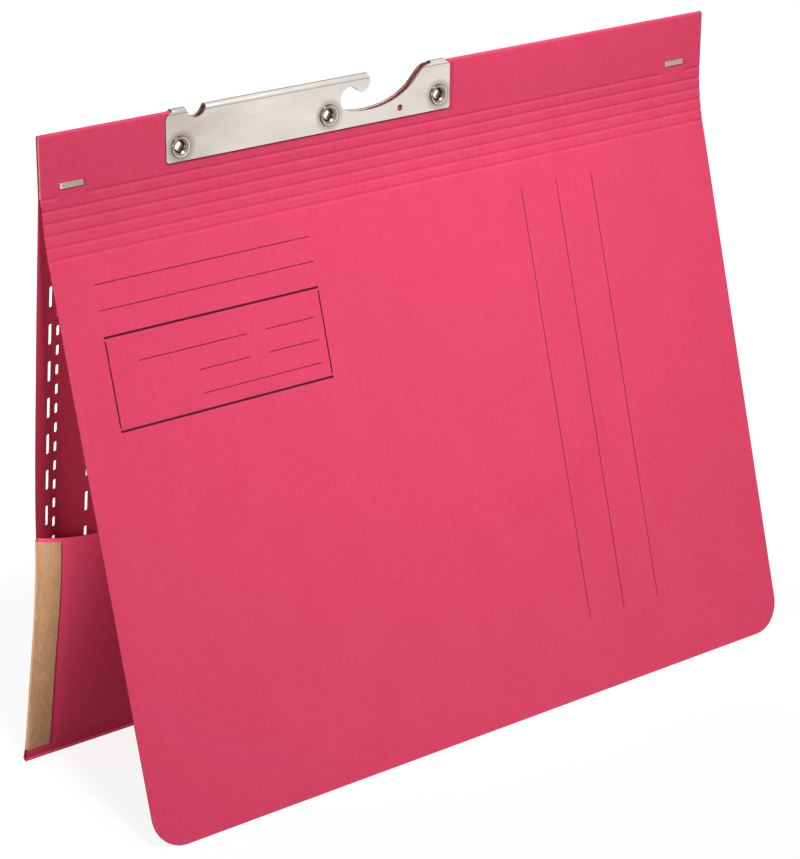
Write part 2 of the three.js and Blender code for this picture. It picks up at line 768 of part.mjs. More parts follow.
// Its score turns about the card's back face, so that the cover can fold right back.
const backScore = new THREE.Group();
backScore.name = "back_score";
backScore.position.set(0, spineThickness, -spineHeight);
backScore.rotation.x = backOpening;
folder.add(backScore);
const backSheet = new THREE.Group();
backSheet.position.y = -halfCard;
backScore.add(backSheet);
backSheet.add(named("back_cover_panel", backPanel(-foldZ - scoreGap), cardMaterial));
backSheet.add(named("pocket_flap", pocketFlap(foldZ), cardMaterial));
backSheet.add(named("pocket_tape_left", pocketTape(-1, foldZ), tapeMaterial));
backSheet.add(named("pocket_tape_right", pocketTape(1, foldZ), tapeMaterial));
backSheet.add(named("fastener_prong_strip", prongStrip(), tinMaterial));
backSheet.add(named("fastener_cover_bar", coverBar(), tinMaterial));
for (const [name, side] of [["fastener_slider_left", -1], ["fastener_slider_right", 1]]) {
  const mesh = named(name, slider(), tinMaterial);
  mesh.position.x = side * sliderFromMiddle;
  backSheet.add(mesh);
}

// Put the origin on the standing surface, under the middle of the footprint.
folder.updateMatrixWorld(true);
const box = new THREE.Box3().setFromObject(folder, true);
const middle = box.getCenter(new THREE.Vector3());
folder.position.set(-middle.x, -middle.y, -box.min.z);

const part = new THREE.Group();
part.add(folder);

export default part;
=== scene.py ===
# %% [markdown]
# # A hanging fastener folder
#
# The folder is one sheet of dyed card, creased and folded over a grey board, with a nickel hanger, hollow
# rivets, wire staples, a tin fastener and paper tape. Each part below is made the way the real one is made:
# flat first, then cut, creased and folded. All sizes are in millimetres until the last step of each part.

import math

import bmesh
import bpy
import numpy as np
from mathutils import Matrix, Vector


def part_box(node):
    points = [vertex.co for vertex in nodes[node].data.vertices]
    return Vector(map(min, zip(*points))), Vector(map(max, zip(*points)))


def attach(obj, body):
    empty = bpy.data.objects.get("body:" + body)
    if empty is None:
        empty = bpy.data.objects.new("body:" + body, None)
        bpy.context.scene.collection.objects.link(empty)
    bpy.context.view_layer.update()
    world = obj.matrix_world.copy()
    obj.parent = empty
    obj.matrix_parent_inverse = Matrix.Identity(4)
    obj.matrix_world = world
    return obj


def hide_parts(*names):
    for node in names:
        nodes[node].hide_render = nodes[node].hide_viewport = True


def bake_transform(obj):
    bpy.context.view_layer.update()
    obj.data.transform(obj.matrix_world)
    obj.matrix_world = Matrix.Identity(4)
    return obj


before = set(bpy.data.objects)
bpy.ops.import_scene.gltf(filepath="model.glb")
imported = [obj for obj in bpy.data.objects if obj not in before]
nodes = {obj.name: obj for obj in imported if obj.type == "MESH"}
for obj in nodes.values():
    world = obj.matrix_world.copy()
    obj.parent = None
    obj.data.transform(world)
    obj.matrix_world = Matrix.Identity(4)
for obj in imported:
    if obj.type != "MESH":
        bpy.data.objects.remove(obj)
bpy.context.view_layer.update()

# %% [markdown]
# ## Sizes
#
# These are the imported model's sizes, so that the pieces made here cover its nodes. The spine's front
# face and top edge are where the heights and depths are counted from. Sizes that only one piece needs
# come with that piece.

# %% Driving sizes
MM = 0.001

folder_width = 318.0
card_thickness = 0.45
corner_radius = 13.0
front_length = 217.7
score_count = 6
score_pitch = 4.42
front_opening = math.radians(16.1)
back_opening = math.radians(6.43)

hanger_height = 18.8
hanger_x = 52.4 - folder_width / 2
rivet_places = [(6.35, 5.3), (73.3, 6.1), (126.0, 5.8)]
spine_height = 23.3
spine_thickness = 2.2

low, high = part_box("spine_card")
spine_front_y = low.y / MM
spine_top_z = high.z / MM
print("spine front face at y", round(spine_front_y, 3), "and top at z", round(spine_top_z, 3))

# %% [markdown]
# ## Colours and small helpers for nodes
#
# Colours are written as the eye reads them on a screen, and turned into the linear values that a
# shader needs. Shaders and Geometry Nodes are both trees of nodes, so one helper adds a node to either
# kind: each input gets a plain value, or a link where it gets another node's output.


# %% Colours
def screen(red, green, blue):
    """A screen colour from 0 to 255, as a linear colour with alpha."""
    linear = []
    for value in (red, green, blue):
        share = value / 255
        linear.append(share / 12.92 if share <= 0.04045 else ((share + 0.055) / 1.055) ** 2.4)
    return (*linear, 1.0)


white = (1.0, 1.0, 1.0, 1.0)
print("the middle grey of a screen is", round(screen(128, 128, 128)[0], 3), "in linear light")


# %% Nodes and links
def feed(tree, socket, value):
    """Links another node's output to an input, or sets the input's own value."""
    if isinstance(value, bpy.types.NodeSocket):
        tree.links.new(value, socket)
    else:
        socket.default_value = value


def add(tree, kind, inputs=None, **settings):
    """A new node with these settings, and a value or a link on each named or numbered input."""
    node = tree.nodes.new(kind)
    for name, value in settings.items():
        setattr(node, name, value)
    for name, value in (inputs or {}).items():
        feed(tree, node.inputs[name], value)
    return node


def maths(tree, operation, *values):
    """The result of a calculation with numbers and outputs."""
    return add(tree, "ShaderNodeMath", dict(enumerate(values)), operation=operation).outputs[0]


def vector_maths(tree, operation, *values):
    """The node of a calculation with vectors."""
    return add(tree, "ShaderNodeVectorMath", dict(enumerate(values)), operation=operation)


# %% Materials and places
def material(name):
    """A new material with its node tree and its main shader."""
    new = bpy.data.materials.new(name)
    new.use_nodes = True
    shader = new.node_tree.nodes["Principled BSDF"]
    return new, new.node_tree, shader


def surface(tree, shader, colour, roughness, specular):
    """Sets the colour, the roughness and the gloss of a main shader."""
    feed(tree, shader.inputs["Base Color"], colour)
    feed(tree, shader.inputs["Roughness"], roughness)
    feed(tree, shader.inputs["Specular IOR Level"], specular)


def object_place(tree):
    """The place on the object, in metres."""
    return add(tree, "ShaderNodeTexCoord").outputs["Object"]


def sheet_place(tree):
    """The place on the flat sheet, in metres, from the piece's own UV map."""
    return add(tree, "ShaderNodeUVMap", uv_map="sheet").outputs["UV"]


# %% Patterns
def noise(tree, place, scale, detail, roughness):
    """Fractal noise at a place, with its own scale on each axis."""
    stretch = add(tree, "ShaderNodeMapping", {"Vector": place, "Scale": scale}).outputs["Vector"]
    inputs = {"Vector": stretch, "Scale": 1.0, "Detail": detail, "Roughness": roughness}
    return add(tree, "ShaderNodeTexNoise", inputs).outputs["Fac"]


def between(tree, value, low, high, start=0.0, end=1.0, course="SMOOTHSTEP"):
    """A value's stretch from low to high, turned into the stretch from start to end."""
    inputs = {"Value": value, "From Min": low, "From Max": high, "To Min": start, "To Max": end}
    return add(tree, "ShaderNodeMapRange", inputs, interpolation_type=course).outputs["Result"]


def shades(tree, value, stops):
    """A colour ramp over a value. Each stop is its place and its colour."""
    ramp = add(tree, "ShaderNodeValToRGB", {"Fac": value})
    band = ramp.color_ramp
    while len(band.elements) < len(stops):
        band.elements.new(0.5)
    for element, (place, colour) in zip(band.elements, stops):
        element.position = place
        element.color = colour
    return ramp.outputs["Color"]


# %% Mixing, and a fine relief
def mixed(tree, first, second, share):
    """Two values mixed, with this share of the second one."""
    return add(tree, "ShaderNodeMix", {0: share, 2: first, 3: second}, data_type="FLOAT").outputs[0]


def multiplied(tree, first, second):
    """Two colours multiplied with each other."""
    inputs = {0: 1.0, 6: first, 7: second}
    return add(tree, "ShaderNodeMix", inputs, data_type="RGBA", blend_type="MULTIPLY").outputs[2]


def bump(tree, shader, height, distance, strength):
    """A fine relief from a height value, at most this distance deep in metres."""
    inputs = {"Height": height, "Distance": distance, "Strength": strength}
    feed(tree, shader.inputs["Normal"], add(tree, "ShaderNodeBump", inputs).outputs["Normal"])


# %% [markdown]
# ## Dyed card
#
# The card is dyed right through. Long fibres leave faint streaks that run up and down the sheet, and the
# dye takes a little unevenly. A picture of card could show this, but noise stays sharp from near and has
# no seams. The pattern is laid out on the flat sheet, so it bends with the card.


# %% Card material
def card_material(name, colour, light, dark):
    """Dyed card. The pattern follows the flat sheet's own coordinates, in metres."""
    card, tree, shader = material(name)
    flat = sheet_place(tree)
    streaks = noise(tree, flat, (520.0, 260.0, 1.0), 5.0, 0.6)
    clouds = noise(tree, flat, (60.0, 30.0, 1.0), 2.0, 0.5)
    dye = mixed(tree, streaks, clouds, 0.3)
    tint = shades(tree, dye, [(0.36, dark), (0.5, colour), (0.64, light)])
    surface(tree, shader, tint, roughness=0.95, specular=0.02)
    grain = noise(tree, flat, (4200.0, 2600.0, 1.0), 2.0, 0.6)
    bump(tree, shader, grain, 0.00002, 0.6)
    return card


red_card = card_material(
    "red card", screen(233, 77, 111), screen(236, 81, 115), screen(230, 73, 107)
)
# The darker red is painted shade on the cut edges and on the inside of the spine's fold.
card_edge_painted_shade = card_material(
    "cut edge of the card and painted shade", screen(122, 38, 55), screen(131, 43, 61), screen(113, 34, 50)
)
print("card materials made")

# %% [markdown]
# ## Print, board and paper
#
# The print is a dark ink that soaks into the dyed card. It could be painted on an image, but a material
# on faces of its own keeps thin lines sharp. Grey board is pressed from short waste fibres, so it is
# speckled. The tape is brown gummed paper with fine long fibres. Each is noise at the scale of its fibres.

# %% Ink, grey board and kraft paper
ink_on_card, tree, shader = material("printing ink")
soak = noise(tree, sheet_place(tree), (3000.0, 3000.0, 1.0), 3.0, 0.6)
tint = shades(tree, soak, [(0.3, screen(66, 30, 38)), (0.75, screen(104, 42, 56))])
surface(tree, shader, tint, roughness=0.9, specular=0.02)

grey_board, tree, shader = material("grey board")
place = object_place(tree)
specks = noise(tree, place, (1800.0, 1800.0, 1800.0), 4.0, 0.7)
tint = shades(
    tree,
    specks,
    [(0.3, screen(118, 104, 94)), (0.5, screen(158, 142, 128)), (0.7, screen(186, 172, 156))],
)
surface(tree, shader, tint, roughness=0.95, specular=0.15)
layers = noise(tree, place, (300.0, 6000.0, 300.0), 3.0, 0.6)
bump(tree, shader, layers, 0.0001, 0.7)

kraft, tree, shader = material("kraft paper")
place = object_place(tree)
fibres = noise(tree, place, (900.0, 900.0, 220.0), 4.0, 0.6)
patches = noise(tree, place, (60.0, 60.0, 40.0), 2.0, 0.5)
tint = shades(
    tree,
    mixed(tree, fibres, patches, 0.4),
    [(0.32, screen(168, 124, 88)), (0.5, screen(186, 142, 104)), (0.66, screen(200, 158, 118))],
)
surface(tree, shader, tint, roughness=0.7, specular=0.3)
bump(tree, shader, fibres, 0.00003, 0.6)
print("ink, board and paper made")

# %% [markdown]
# ## Metals
#
# The hanger is cold rolled, so its plating shows fine lines along the strip. Riveting draws the sheet in
# a little, which leaves a shallow dish round each rivet, and painted shade darkens the dish. Where the
# sheet bends over the spine it turns away from the light, so a dark line of painted shade runs along each
# bend and over the far side of its crest, and painted shade darkens its left end a little. The cut edges
# are bare steel and darker, and their dark colour is also painted shade along the plate's edges. These
# marks could be painted on an image, but each has a place that is known, so the shader works them out
# from the place on the hanger, and they follow when a size is changed.


# %% Metals and the distance to a rivet
def metal(name, colour, roughness, grain_scale, spread):
    """A bright metal with fine rolling lines that change its gloss."""
    new, tree, shader = material(name)
    place = object_place(tree)
    lines = noise(tree, place, grain_scale, 3.0, 0.6)
    gloss = between(tree, lines, 0.3, 0.7, roughness - spread, roughness + spread, "LINEAR")
    feed(tree, shader.inputs["Roughness"], gloss)
    feed(tree, shader.inputs["Base Color"], colour)
    feed(tree, shader.inputs["Metallic"], 1.0)
    return new, tree, shader, place, lines


def plain_metal(name, colour, roughness, grain_scale, spread, depth, strength):
    """A metal of one colour, with its rolling lines as a fine relief too."""
    new, tree, shader, _, lines = metal(name, colour, roughness, grain_scale, spread)
    bump(tree, shader, lines, depth, strength)
    return new


def near_rivets(tree, place):
    """Distance in metres from the axis of the nearest rivet."""
    nearest = None
    for x, above_foot in rivet_places:
        centre = ((hanger_x + x) * MM, 0.0, (spine_top_z - hanger_height + above_foot) * MM)
        off = vector_maths(tree, "SUBTRACT", place, centre).outputs[0]
        flat_off = vector_maths(tree, "MULTIPLY", off, (1.0, 0.0, 1.0)).outputs[0]
        distance = vector_maths(tree, "LENGTH", flat_off).outputs["Value"]
        nearest = distance if nearest is None else maths(tree, "MINIMUM", nearest, distance)
    return nearest


# %% Nickel plate of the hanger
dish_inner, dish_outer = 4.0 * MM, 7.2 * MM
dish_weight = 40.0
bend_height = 2.2 * MM
shaded_end_length = 40.0 * MM
far_bend_start, far_bend_end = 0.6 * MM, 0.3 * MM
crest_start, crest_end = 0.3 * MM, 0.4 * MM

nickel, tree, shader, place, lines = metal(
    "nickel plate", screen(222, 214, 207), 0.3, (60.0, 900.0, 2600.0), 0.06
)
# Painted shade: the colour is darker in the dish round each rivet, mixed with random clouds of tone.
dish_and_painted_shade = between(tree, near_rivets(tree, place), dish_inner, dish_outer)
clouds = noise(tree, place, (45.0, 45.0, 120.0), 3.0, 0.6)
tint = shades(
    tree,
    mixed(tree, dish_and_painted_shade, clouds, 0.5),
    [(0.2, screen(178, 168, 160)), (0.6, screen(210, 201, 193)), (0.85, screen(230, 224, 218))],
)
apart = add(tree, "ShaderNodeSeparateXYZ", {0: place})
top = spine_top_z * MM
# Painted shade: a dark line along each bend over the spine.
painted_bend_shade = shades(
    tree,
    between(tree, apart.outputs["Z"], top - bend_height, top),
    [(0.3, white), (0.52, (0.42, 0.4, 0.38, 1.0)), (0.66, white)],
)
# Painted shade: the hanger's left end is a little darker.
left_end = hanger_x * MM
painted_end_shade = shades(
    tree,
    between(tree, apart.outputs["X"], left_end, left_end + shaded_end_length),
    [(0.0, (0.8, 0.79, 0.78, 1.0)), (1.0, white)],
)
# Painted shade: a dark line over the far side of the fold's crest.
fold_middle = (spine_front_y + spine_thickness / 2) * MM
past_middle = between(
    tree, apart.outputs["Y"], fold_middle - far_bend_start, fold_middle - far_bend_end
)
on_crest = between(tree, apart.outputs["Z"], top + crest_start, top + crest_end)
far_crest_shade_mask = maths(tree, "MULTIPLY", past_middle, on_crest)
painted_crest_shade = shades(tree, far_crest_shade_mask, [(0.0, white), (1.0, (0.1, 0.09, 0.09, 1.0))])
for shade in (painted_bend_shade, painted_end_shade, painted_crest_shade):
    tint = multiplied(tree, tint, shade)
feed(tree, shader.inputs["Base Color"], tint)
bump(tree, shader, maths(tree, "MULTIPLY_ADD", dish_and_painted_shade, dish_weight, lines), 0.000008, 0.8)
print("nickel plate made")

# %% Rivets, cut edges, wire and tin
rivet_inner, rivet_outer = 1.6 * MM, 4.4 * MM

# The rivet's colour is painted light: painted shade in the bore, in the funnel and round the rim's outer
# edge, and a painted highlight on the rolled rim.
rivet_nickel_painted_light, tree, shader, place, lines = metal(
    "rivet nickel with painted light", screen(206, 198, 190), 0.26, (900.0, 900.0, 900.0), 0.06
)
tint = shades(
    tree,
    between(tree, near_rivets(tree, place), rivet_inner, rivet_outer),
    [
        (0.12, screen(84, 76, 70)),
        (0.3, screen(134, 125, 118)),
        (0.56, screen(166, 157, 149)),
        (0.68, screen(124, 115, 108)),
        (0.75, screen(226, 220, 213)),
        (0.83, screen(222, 215, 208)),
        (0.9, screen(120, 111, 104)),
    ],
)
feed(tree, shader.inputs["Base Color"], tint)
bump(tree, shader, lines, 0.00001, 0.5)

# Bare steel is darker than the plate; this colour is darker still, as painted shade along the hanger's
# edges.
cut_steel_and_painted_shade = plain_metal(
    "cut steel edge and painted shade", screen(92, 80, 74), 0.5, (2400.0, 300.0, 2400.0), 0.1, 0.00002, 0.6
)
wire = plain_metal(
    "staple wire", screen(192, 185, 173), 0.34, (120.0, 1500.0, 1500.0), 0.08, 0.00001, 0.5
)
tin = plain_metal("tinned steel", screen(210, 206, 198), 0.36, (90.0, 700.0, 700.0), 0.1, 0.00001, 0.5)
print("four more metals made")

# %% [markdown]
# ## The path of a folded sheet
#
# Seen from its end, a folded sheet is a line of straight and round sections. A point on the flat sheet
# has a place across it (x), a place along it (s) and a height off its middle (n, outwards). Folding is
# then only a walk along the path, and the print, the slots and the creases all fold with it. Bones or a
# bend modifier could fold the sheet too, but the walk keeps every length exact.


# %% Walking along a path
def step(y, z, heading, bend, distance):
    """Where a walk ends that starts at y, z with this heading and bends this much per millimetre."""
    turned = heading + bend * distance
    straight = np.abs(bend) < 1e-9
    safe = np.where(straight, 1.0, bend)
    round_y = y + (np.sin(turned) - np.sin(heading)) / safe
    round_z = z - (np.cos(turned) - np.cos(heading)) / safe
    straight_y = y + distance * np.cos(heading)
    straight_z = z + distance * np.sin(heading)
    return np.where(straight, straight_y, round_y), np.where(straight, straight_z, round_z)


def path_of(start, heading, sections, fixed):
    """Knots of a path from (length, turn) sections. Fixed is a place (s, y, z) that it goes through."""
    knots = []
    s, y, z = start, 0.0, 0.0
    for length, turn in sections:
        bend = turn / length
        knots.append((s, y, z, heading, bend))
        y, z = step(y, z, heading, bend, length)
        s += length
        heading += turn
    knots = np.array(knots, float)
    fixed_s, fixed_y, fixed_z = fixed
    y, z, _ = walk(knots, np.array([fixed_s]))
    knots[:, 1] += fixed_y - y[0]
    knots[:, 2] += fixed_z - z[0]
    return knots


def walk(knots, s):
    """Place and heading on the path at each s."""
    index = np.clip(np.searchsorted(knots[:, 0], s, side="right") - 1, 0, len(knots) - 1)
    start, y, z, heading, bend = knots[index].T
    distance = s - start
    y, z = step(y, z, heading, bend, distance)
    return y, z, heading + bend * distance


def folded(knots, points):
    """Points (x, s, n) of a flat sheet, folded along the path, in metres in the row frame."""
    y, z, heading = walk(knots, points[:, 1])
    y = y - points[:, 2] * np.sin(heading)
    z = z + points[:, 2] * np.cos(heading)
    placed = np.column_stack((points[:, 0], y + spine_front_y, z + spine_top_z))
    return placed * MM


trial_length = 10.0
trial_y, trial_z = step(0.0, 0.0, 0.0, math.pi / 2 / trial_length, trial_length)
trial_y, trial_z = round(float(trial_y), 2), round(float(trial_z), 2)
print("a quarter turn over", trial_length, "mm ends", trial_y, "mm along and", trial_z, "mm up")

# %% The card's own path, from the foot of the front cover over the spine to the pocket
crease = 1.6
half_card = card_thickness / 2
quarter = math.pi / 2

fold_radius = 1.0
spine_leg = spine_height - fold_radius
fold_arc = quarter * (fold_radius - half_card)
fold_flat = spine_thickness - 2 * fold_radius
score_turn = front_opening / score_count

pocket_depth = 100.0
pocket_radius = 0.85
pocket_arc = math.pi * (pocket_radius - half_card)
flap_length = pocket_depth - pocket_radius
back_length = 231.57

last_score = -(score_count - 1) * score_pitch
front_foot = last_score - front_length
top_start = spine_leg
top_end = spine_leg + 2 * fold_arc + fold_flat
back_score = top_end + spine_leg
pocket_start = back_score + back_length
flap_start = pocket_start + pocket_arc
flap_end = flap_start + flap_length

sections = [(front_length - crease / 2, 0.0)]
for k in range(score_count):
    sections.append((crease, score_turn))
    sections.append((score_pitch - crease, 0.0))
sections[-1] = (spine_leg - crease / 2, 0.0)
sections += [(fold_arc, -quarter), (fold_flat, 0.0), (fold_arc, -quarter)]
sections += [(spine_leg - crease / 2, 0.0), (crease, back_opening)]
sections += [(back_length - crease / 2, 0.0), (pocket_arc, -math.pi), (flap_length, 0.0)]

on_spine = 10.0
on_spine_face = (on_spine, half_card, on_spine - spine_height)
card_path = path_of(front_foot, quarter - front_opening, sections, on_spine_face)
print("the flat sheet is", folder_width, "by", round(flap_end - front_foot, 1), "mm")

# %% [markdown]
# ## Outlines
#
# The hanger's notch and hook are drawn as they are seen from the front. Where an outline crosses the top
# fold, its height is turned into a distance along the sheet, and the back leg gets the mirror image. A
# boolean could cut the folded sheet instead, but it leaves thin sliver faces on the fold. The card's
# opening is a little wider than the metal's, so that the card lies back behind the metal's edge.


# %% Arcs and curves
def arc(x, y, radius, start, end, count):
    """Points on a circle from one angle to another."""
    angles = np.linspace(start, end, count)
    return [(x + radius * math.cos(a), y + radius * math.sin(a)) for a in angles]


def circle(x, y, radius, count):
    """Points round a whole circle."""
    return arc(x, y, radius, 0, 2 * math.pi, count + 1)[:-1]


def bezier(start, first, second, end, count):
    """Points on a curve with two guide points, without its start."""
    points = []
    for t in np.linspace(0, 1, count + 1)[1:]:
        weights = ((1 - t) ** 3, 3 * t * (1 - t) ** 2, 3 * t * t * (1 - t), t**3)
        corners = (start, first, second, end)
        points.append(tuple(sum(w * c[i] for w, c in zip(weights, corners)) for i in range(2)))
    return points


# %% Sizes of the hanger's outline
hanger_length = 131.2
hanger_thickness = 0.6
hanger_rise = 0.65
lower_corner = 1.1
left_corner = 3.0
right_corner = 1.8
corner_drop = 0.3

notch_x, notch_z, notch_radius = 13.4, 0.85, 4.35
nose_x, nose_z, nose_radius = 88.5, -2.1, 4.0
throat_x, throat_z, throat_radius = 83.2, -7.9, 4.65
ramp_middle = (113.6, -5.6)
ramp_top_x = 122.2
ramp_sag = 2.4
ramp_crest = 2.6
throat_start, throat_end = math.radians(48), math.radians(258)
hook_lip = 0.2
print("the hanger is", hanger_length, "by", hanger_height, "mm")


# %% The edges of the hook and the notch
def hook_edge(top):
    """The hook's opening from the left of its mouth, round the throat and up the ramp."""
    nose_start = math.asin(-nose_z / nose_radius)
    mouth_x = nose_x + nose_radius * math.cos(nose_start)
    points = [(mouth_x, height) for height in np.linspace(top, hook_lip, 4) if top > hook_lip]
    points += arc(nose_x, nose_z, nose_radius, nose_start, -quarter, 16)
    points += arc(throat_x, throat_z, throat_radius, throat_start, throat_end, 30)
    start = points[-1]
    lower = ramp_middle[0] - start[0]
    upper = ramp_top_x - ramp_middle[0]
    points += bezier(
        start,
        (start[0] + 0.4 * lower, start[1] - ramp_sag),
        (start[0] + 0.77 * lower, start[1]),
        ramp_middle,
        18,
    )
    points += bezier(
        ramp_middle,
        (ramp_middle[0] + 0.3 * upper, ramp_middle[1] + ramp_crest),
        (ramp_middle[0] + 0.5 * upper, 0.0),
        (ramp_top_x, 0.0),
        10,
    )
    points += [(ramp_top_x, height) for height in np.linspace(hook_lip, top, 4) if top > hook_lip]
    return [(hanger_x + x, z) for x, z in points]


def notch_edge(top):
    """The round notch from its left to its right, as high as the sheet's own fold."""
    reach = math.asin((notch_z - top) / notch_radius)
    points = arc(notch_x, notch_z, notch_radius, math.pi + reach, 2 * math.pi - reach, 30)
    return [(hanger_x + x, z) for x, z in points]


print(len(hook_edge(0.0)), "points along the hook and", len(notch_edge(0.0)), "along the notch")


# %% From an outline seen from the front to one on the flat sheet
def along_sheet(points, top, inner, leg_top):
    """Heights over a round fold as distances along the sheet. Top is the fold's outer top."""
    radius = top + fold_radius
    turned = []
    for x, z in points:
        if z > -fold_radius:
            share = min(1.0, (z + fold_radius) / radius)
            turned.append((x, leg_top + inner * math.asin(share)))
        else:
            turned.append((x, leg_top + z + fold_radius))
    return turned


def both_legs(points, middle):
    """A closed outline from its front half and the mirror image on the back leg."""
    return points + [(x, 2 * middle - s) for x, s in reversed(points)]


def set_back(points, distance):
    """The same edge moved sideways, away from the opening that lies to its left."""
    line = np.array(points)
    along = np.gradient(line, axis=0)
    along /= np.linalg.norm(along, axis=1)[:, None]
    return [(x + distance * dz, z - distance * dx) for (x, z), (dx, dz) in zip(points, along)]


print("over each fold of the spine the card's middle is", round(fold_arc, 2), "mm long")

# %% The openings in the spine
card_set_back = 0.55
card_middle = (top_start + top_end) / 2
card_openings = []
for edge in (notch_edge(0.0), hook_edge(0.0)):
    on_card = along_sheet(set_back(edge, card_set_back), 0.0, fold_radius - half_card, spine_leg)
    card_openings.append(both_legs(on_card, card_middle))

rivets = [(hanger_x + x, above - hanger_height) for x, above in rivet_places]
rivet_hole_radius = 3.1
for x, z in rivets:
    for s in (spine_height + z, 2 * card_middle - spine_height - z):
        card_openings.append(circle(x, s, rivet_hole_radius, 32))

print(len(card_openings), "openings in the spine")

# %% [markdown]
# ## The die-cut blank
#
# On the real machine one die cuts the sheet: its outline, the hook and notch, the rivet holes and three
# columns of slots for plug-in tabs. The slots repeat, so they are made with Geometry Nodes: one slot
# shape on a line of points. The same node group then fills the outline and leaves every opening open.


# %% Objects, and empty node groups
def in_scene(name, data):
    """A new object in the scene with this mesh, lamp or camera."""
    new = bpy.data.objects.new(name, data)
    bpy.context.scene.collection.objects.link(new)
    return new


def node_group(name, inputs):
    """An empty geometry node group with named inputs. Each is a label and the kind of its socket."""
    tree = bpy.data.node_groups.new(name, "GeometryNodeTree")
    face = tree.interface
    face.new_socket(name="Geometry", in_out="INPUT", socket_type="NodeSocketGeometry")
    for label, kind in inputs.items():
        face.new_socket(name=label, in_out="INPUT", socket_type=f"NodeSocket{kind}")
    face.new_socket(name="Geometry", in_out="OUTPUT", socket_type="NodeSocketGeometry")
    return tree, tree.nodes.new("NodeGroupInput").outputs, tree.nodes.new("NodeGroupOutput")


# %% Steps that the node groups share
def set_material(tree, geometry, given, result):
    """The end of a node group: its geometry gets the given material and goes out."""
    inputs = {"Geometry": geometry, "Material": given["Material"]}
    finish = add(tree, "GeometryNodeSetMaterial", inputs)
    feed(tree, result.inputs["Geometry"], finish.outputs["Geometry"])


def realized(tree, geometry):
    """Instances made into plain geometry."""
    return add(tree, "GeometryNodeRealizeInstances", {0: geometry}).outputs[0]


def as_curve(tree, given):
    """The given edges as curves."""
    return add(tree, "GeometryNodeMeshToCurve", {"Mesh": given["Geometry"]}).outputs["Curve"]


def filled(tree, curve):
    """Flat faces inside closed curves. A curve within another one is a hole."""
    return add(tree, "GeometryNodeFillCurve", {"Curve": curve}, mode="TRIANGLES").outputs["Mesh"]


# %% From outlines and node groups to meshes
def grown(obj, tree, values):
    """The plain mesh that a node group makes on an object, with these values on its named inputs."""
    modifier = obj.modifiers.new(tree.name, "NODES")
    modifier.node_group = tree
    for socket in tree.interface.items_tree:
        if socket.in_out == "INPUT" and socket.name in values:
            modifier[socket.identifier] = values[socket.name]
    depsgraph = bpy.context.evaluated_depsgraph_get()
    depsgraph.update()
    mesh = bpy.data.meshes.new_from_object(obj.evaluated_get(depsgraph), depsgraph=depsgraph)
    obj.modifiers.remove(modifier)
    return mesh


def outlines_object(name, loops):
    """An object of closed edge loops in the plane, in millimetres."""
    points = []
    edges = []
    for loop in loops:
        first = len(points)
        count = len(loop)
        points += [(x, s, 0.0) for x, s in loop]
        edges += [(first + i, first + (i + 1) % count) for i in range(count)]
    mesh = bpy.data.meshes.new(name)
    mesh.from_pydata(points, edges, [])
    return in_scene(name, mesh)


# %% One column of slots
slot_end_share = 0.4999


def slot_column(tree, given, label):
    """One column of slots as curves: a rectangle with round ends on a line of points."""
    width = given["Slot width"]
    size = {"Width": width, "Height": given[f"{label} length"]}
    shape = add(tree, "GeometryNodeCurvePrimitiveQuadrilateral", size).outputs["Curve"]
    rounding = {"Curve": shape, "Radius": maths(tree, "MULTIPLY", width, slot_end_share), "Count": 3}
    slot = add(tree, "GeometryNodeFilletCurve", rounding, mode="POLY").outputs["Curve"]
    pitch = add(tree, "ShaderNodeCombineXYZ", {"Y": given[f"{label} pitch"]}).outputs[0]
    row = {"Count": given[f"{label} count"], "Start Location": given[f"{label} first"], "Offset": pitch}
    points = add(tree, "GeometryNodeMeshLine", row).outputs["Mesh"]
    copies = add(tree, "GeometryNodeInstanceOnPoints", {"Points": points, "Instance": slot})
    return copies.outputs["Instances"]


# %% The blank's node group
columns = ("Outer long", "Short", "Inner long")
inputs = {"Slot width": "Float"}
for label in columns:
    inputs[f"{label} length"] = "Float"
    inputs[f"{label} pitch"] = "Float"
    inputs[f"{label} count"] = "Int"
    inputs[f"{label} first"] = "Vector"
inputs["Material"] = "Material"
blank_tree, given, result = node_group("die cut blank", inputs)
join = blank_tree.nodes.new("GeometryNodeJoinGeometry")
for label in columns:
    feed(blank_tree, join.inputs[0], slot_column(blank_tree, given, label))
feed(blank_tree, join.inputs[0], as_curve(blank_tree, given))
cut_lines = realized(blank_tree, join.outputs[0])
set_material(blank_tree, filled(blank_tree, cut_lines), given, result)
print("node group", blank_tree.name, "with", len(blank_tree.nodes), "nodes")

# %% Cutting the blank
half_width = folder_width / 2
staples = [(-(half_width - 12.7), 4.1), (half_width - 14.8, 4.1)]
staple_crown = 9.8
staple_width = 2.1
staple_wire = 0.45
staple_leg = (staple_crown - staple_wire) / 2
staple_hole = (0.325, 1.25)

hole_spacing = 80.0
fastener_drop = 26.7
prong_hole = (0.4, 3.5)


def rectangle(x, s, half_x, half_s):
    """The four corners of an upright rectangle round a middle."""
    return [(x + i * half_x, s + j * half_s) for i, j in ((-1, -1), (1, -1), (1, 1), (-1, 1))]


small_openings = []
for x, s in staples:
    for leg in (-staple_leg, staple_leg):
        for place in (s, 2 * card_middle - s):
            small_openings.append(rectangle(x + leg, place, *staple_hole))
for side in (-1, 1):
    prong_x = side * hole_spacing / 2
    small_openings.append(rectangle(prong_x, back_score + fastener_drop, *prong_hole))

r = corner_radius
sheet_outline = arc(-half_width + r, front_foot + r, r, math.pi, 1.5 * math.pi, 14)
sheet_outline += arc(half_width - r, front_foot + r, r, 1.5 * math.pi, 2 * math.pi, 14)
sheet_outline += [(half_width, flap_end), (-half_width, flap_end)]

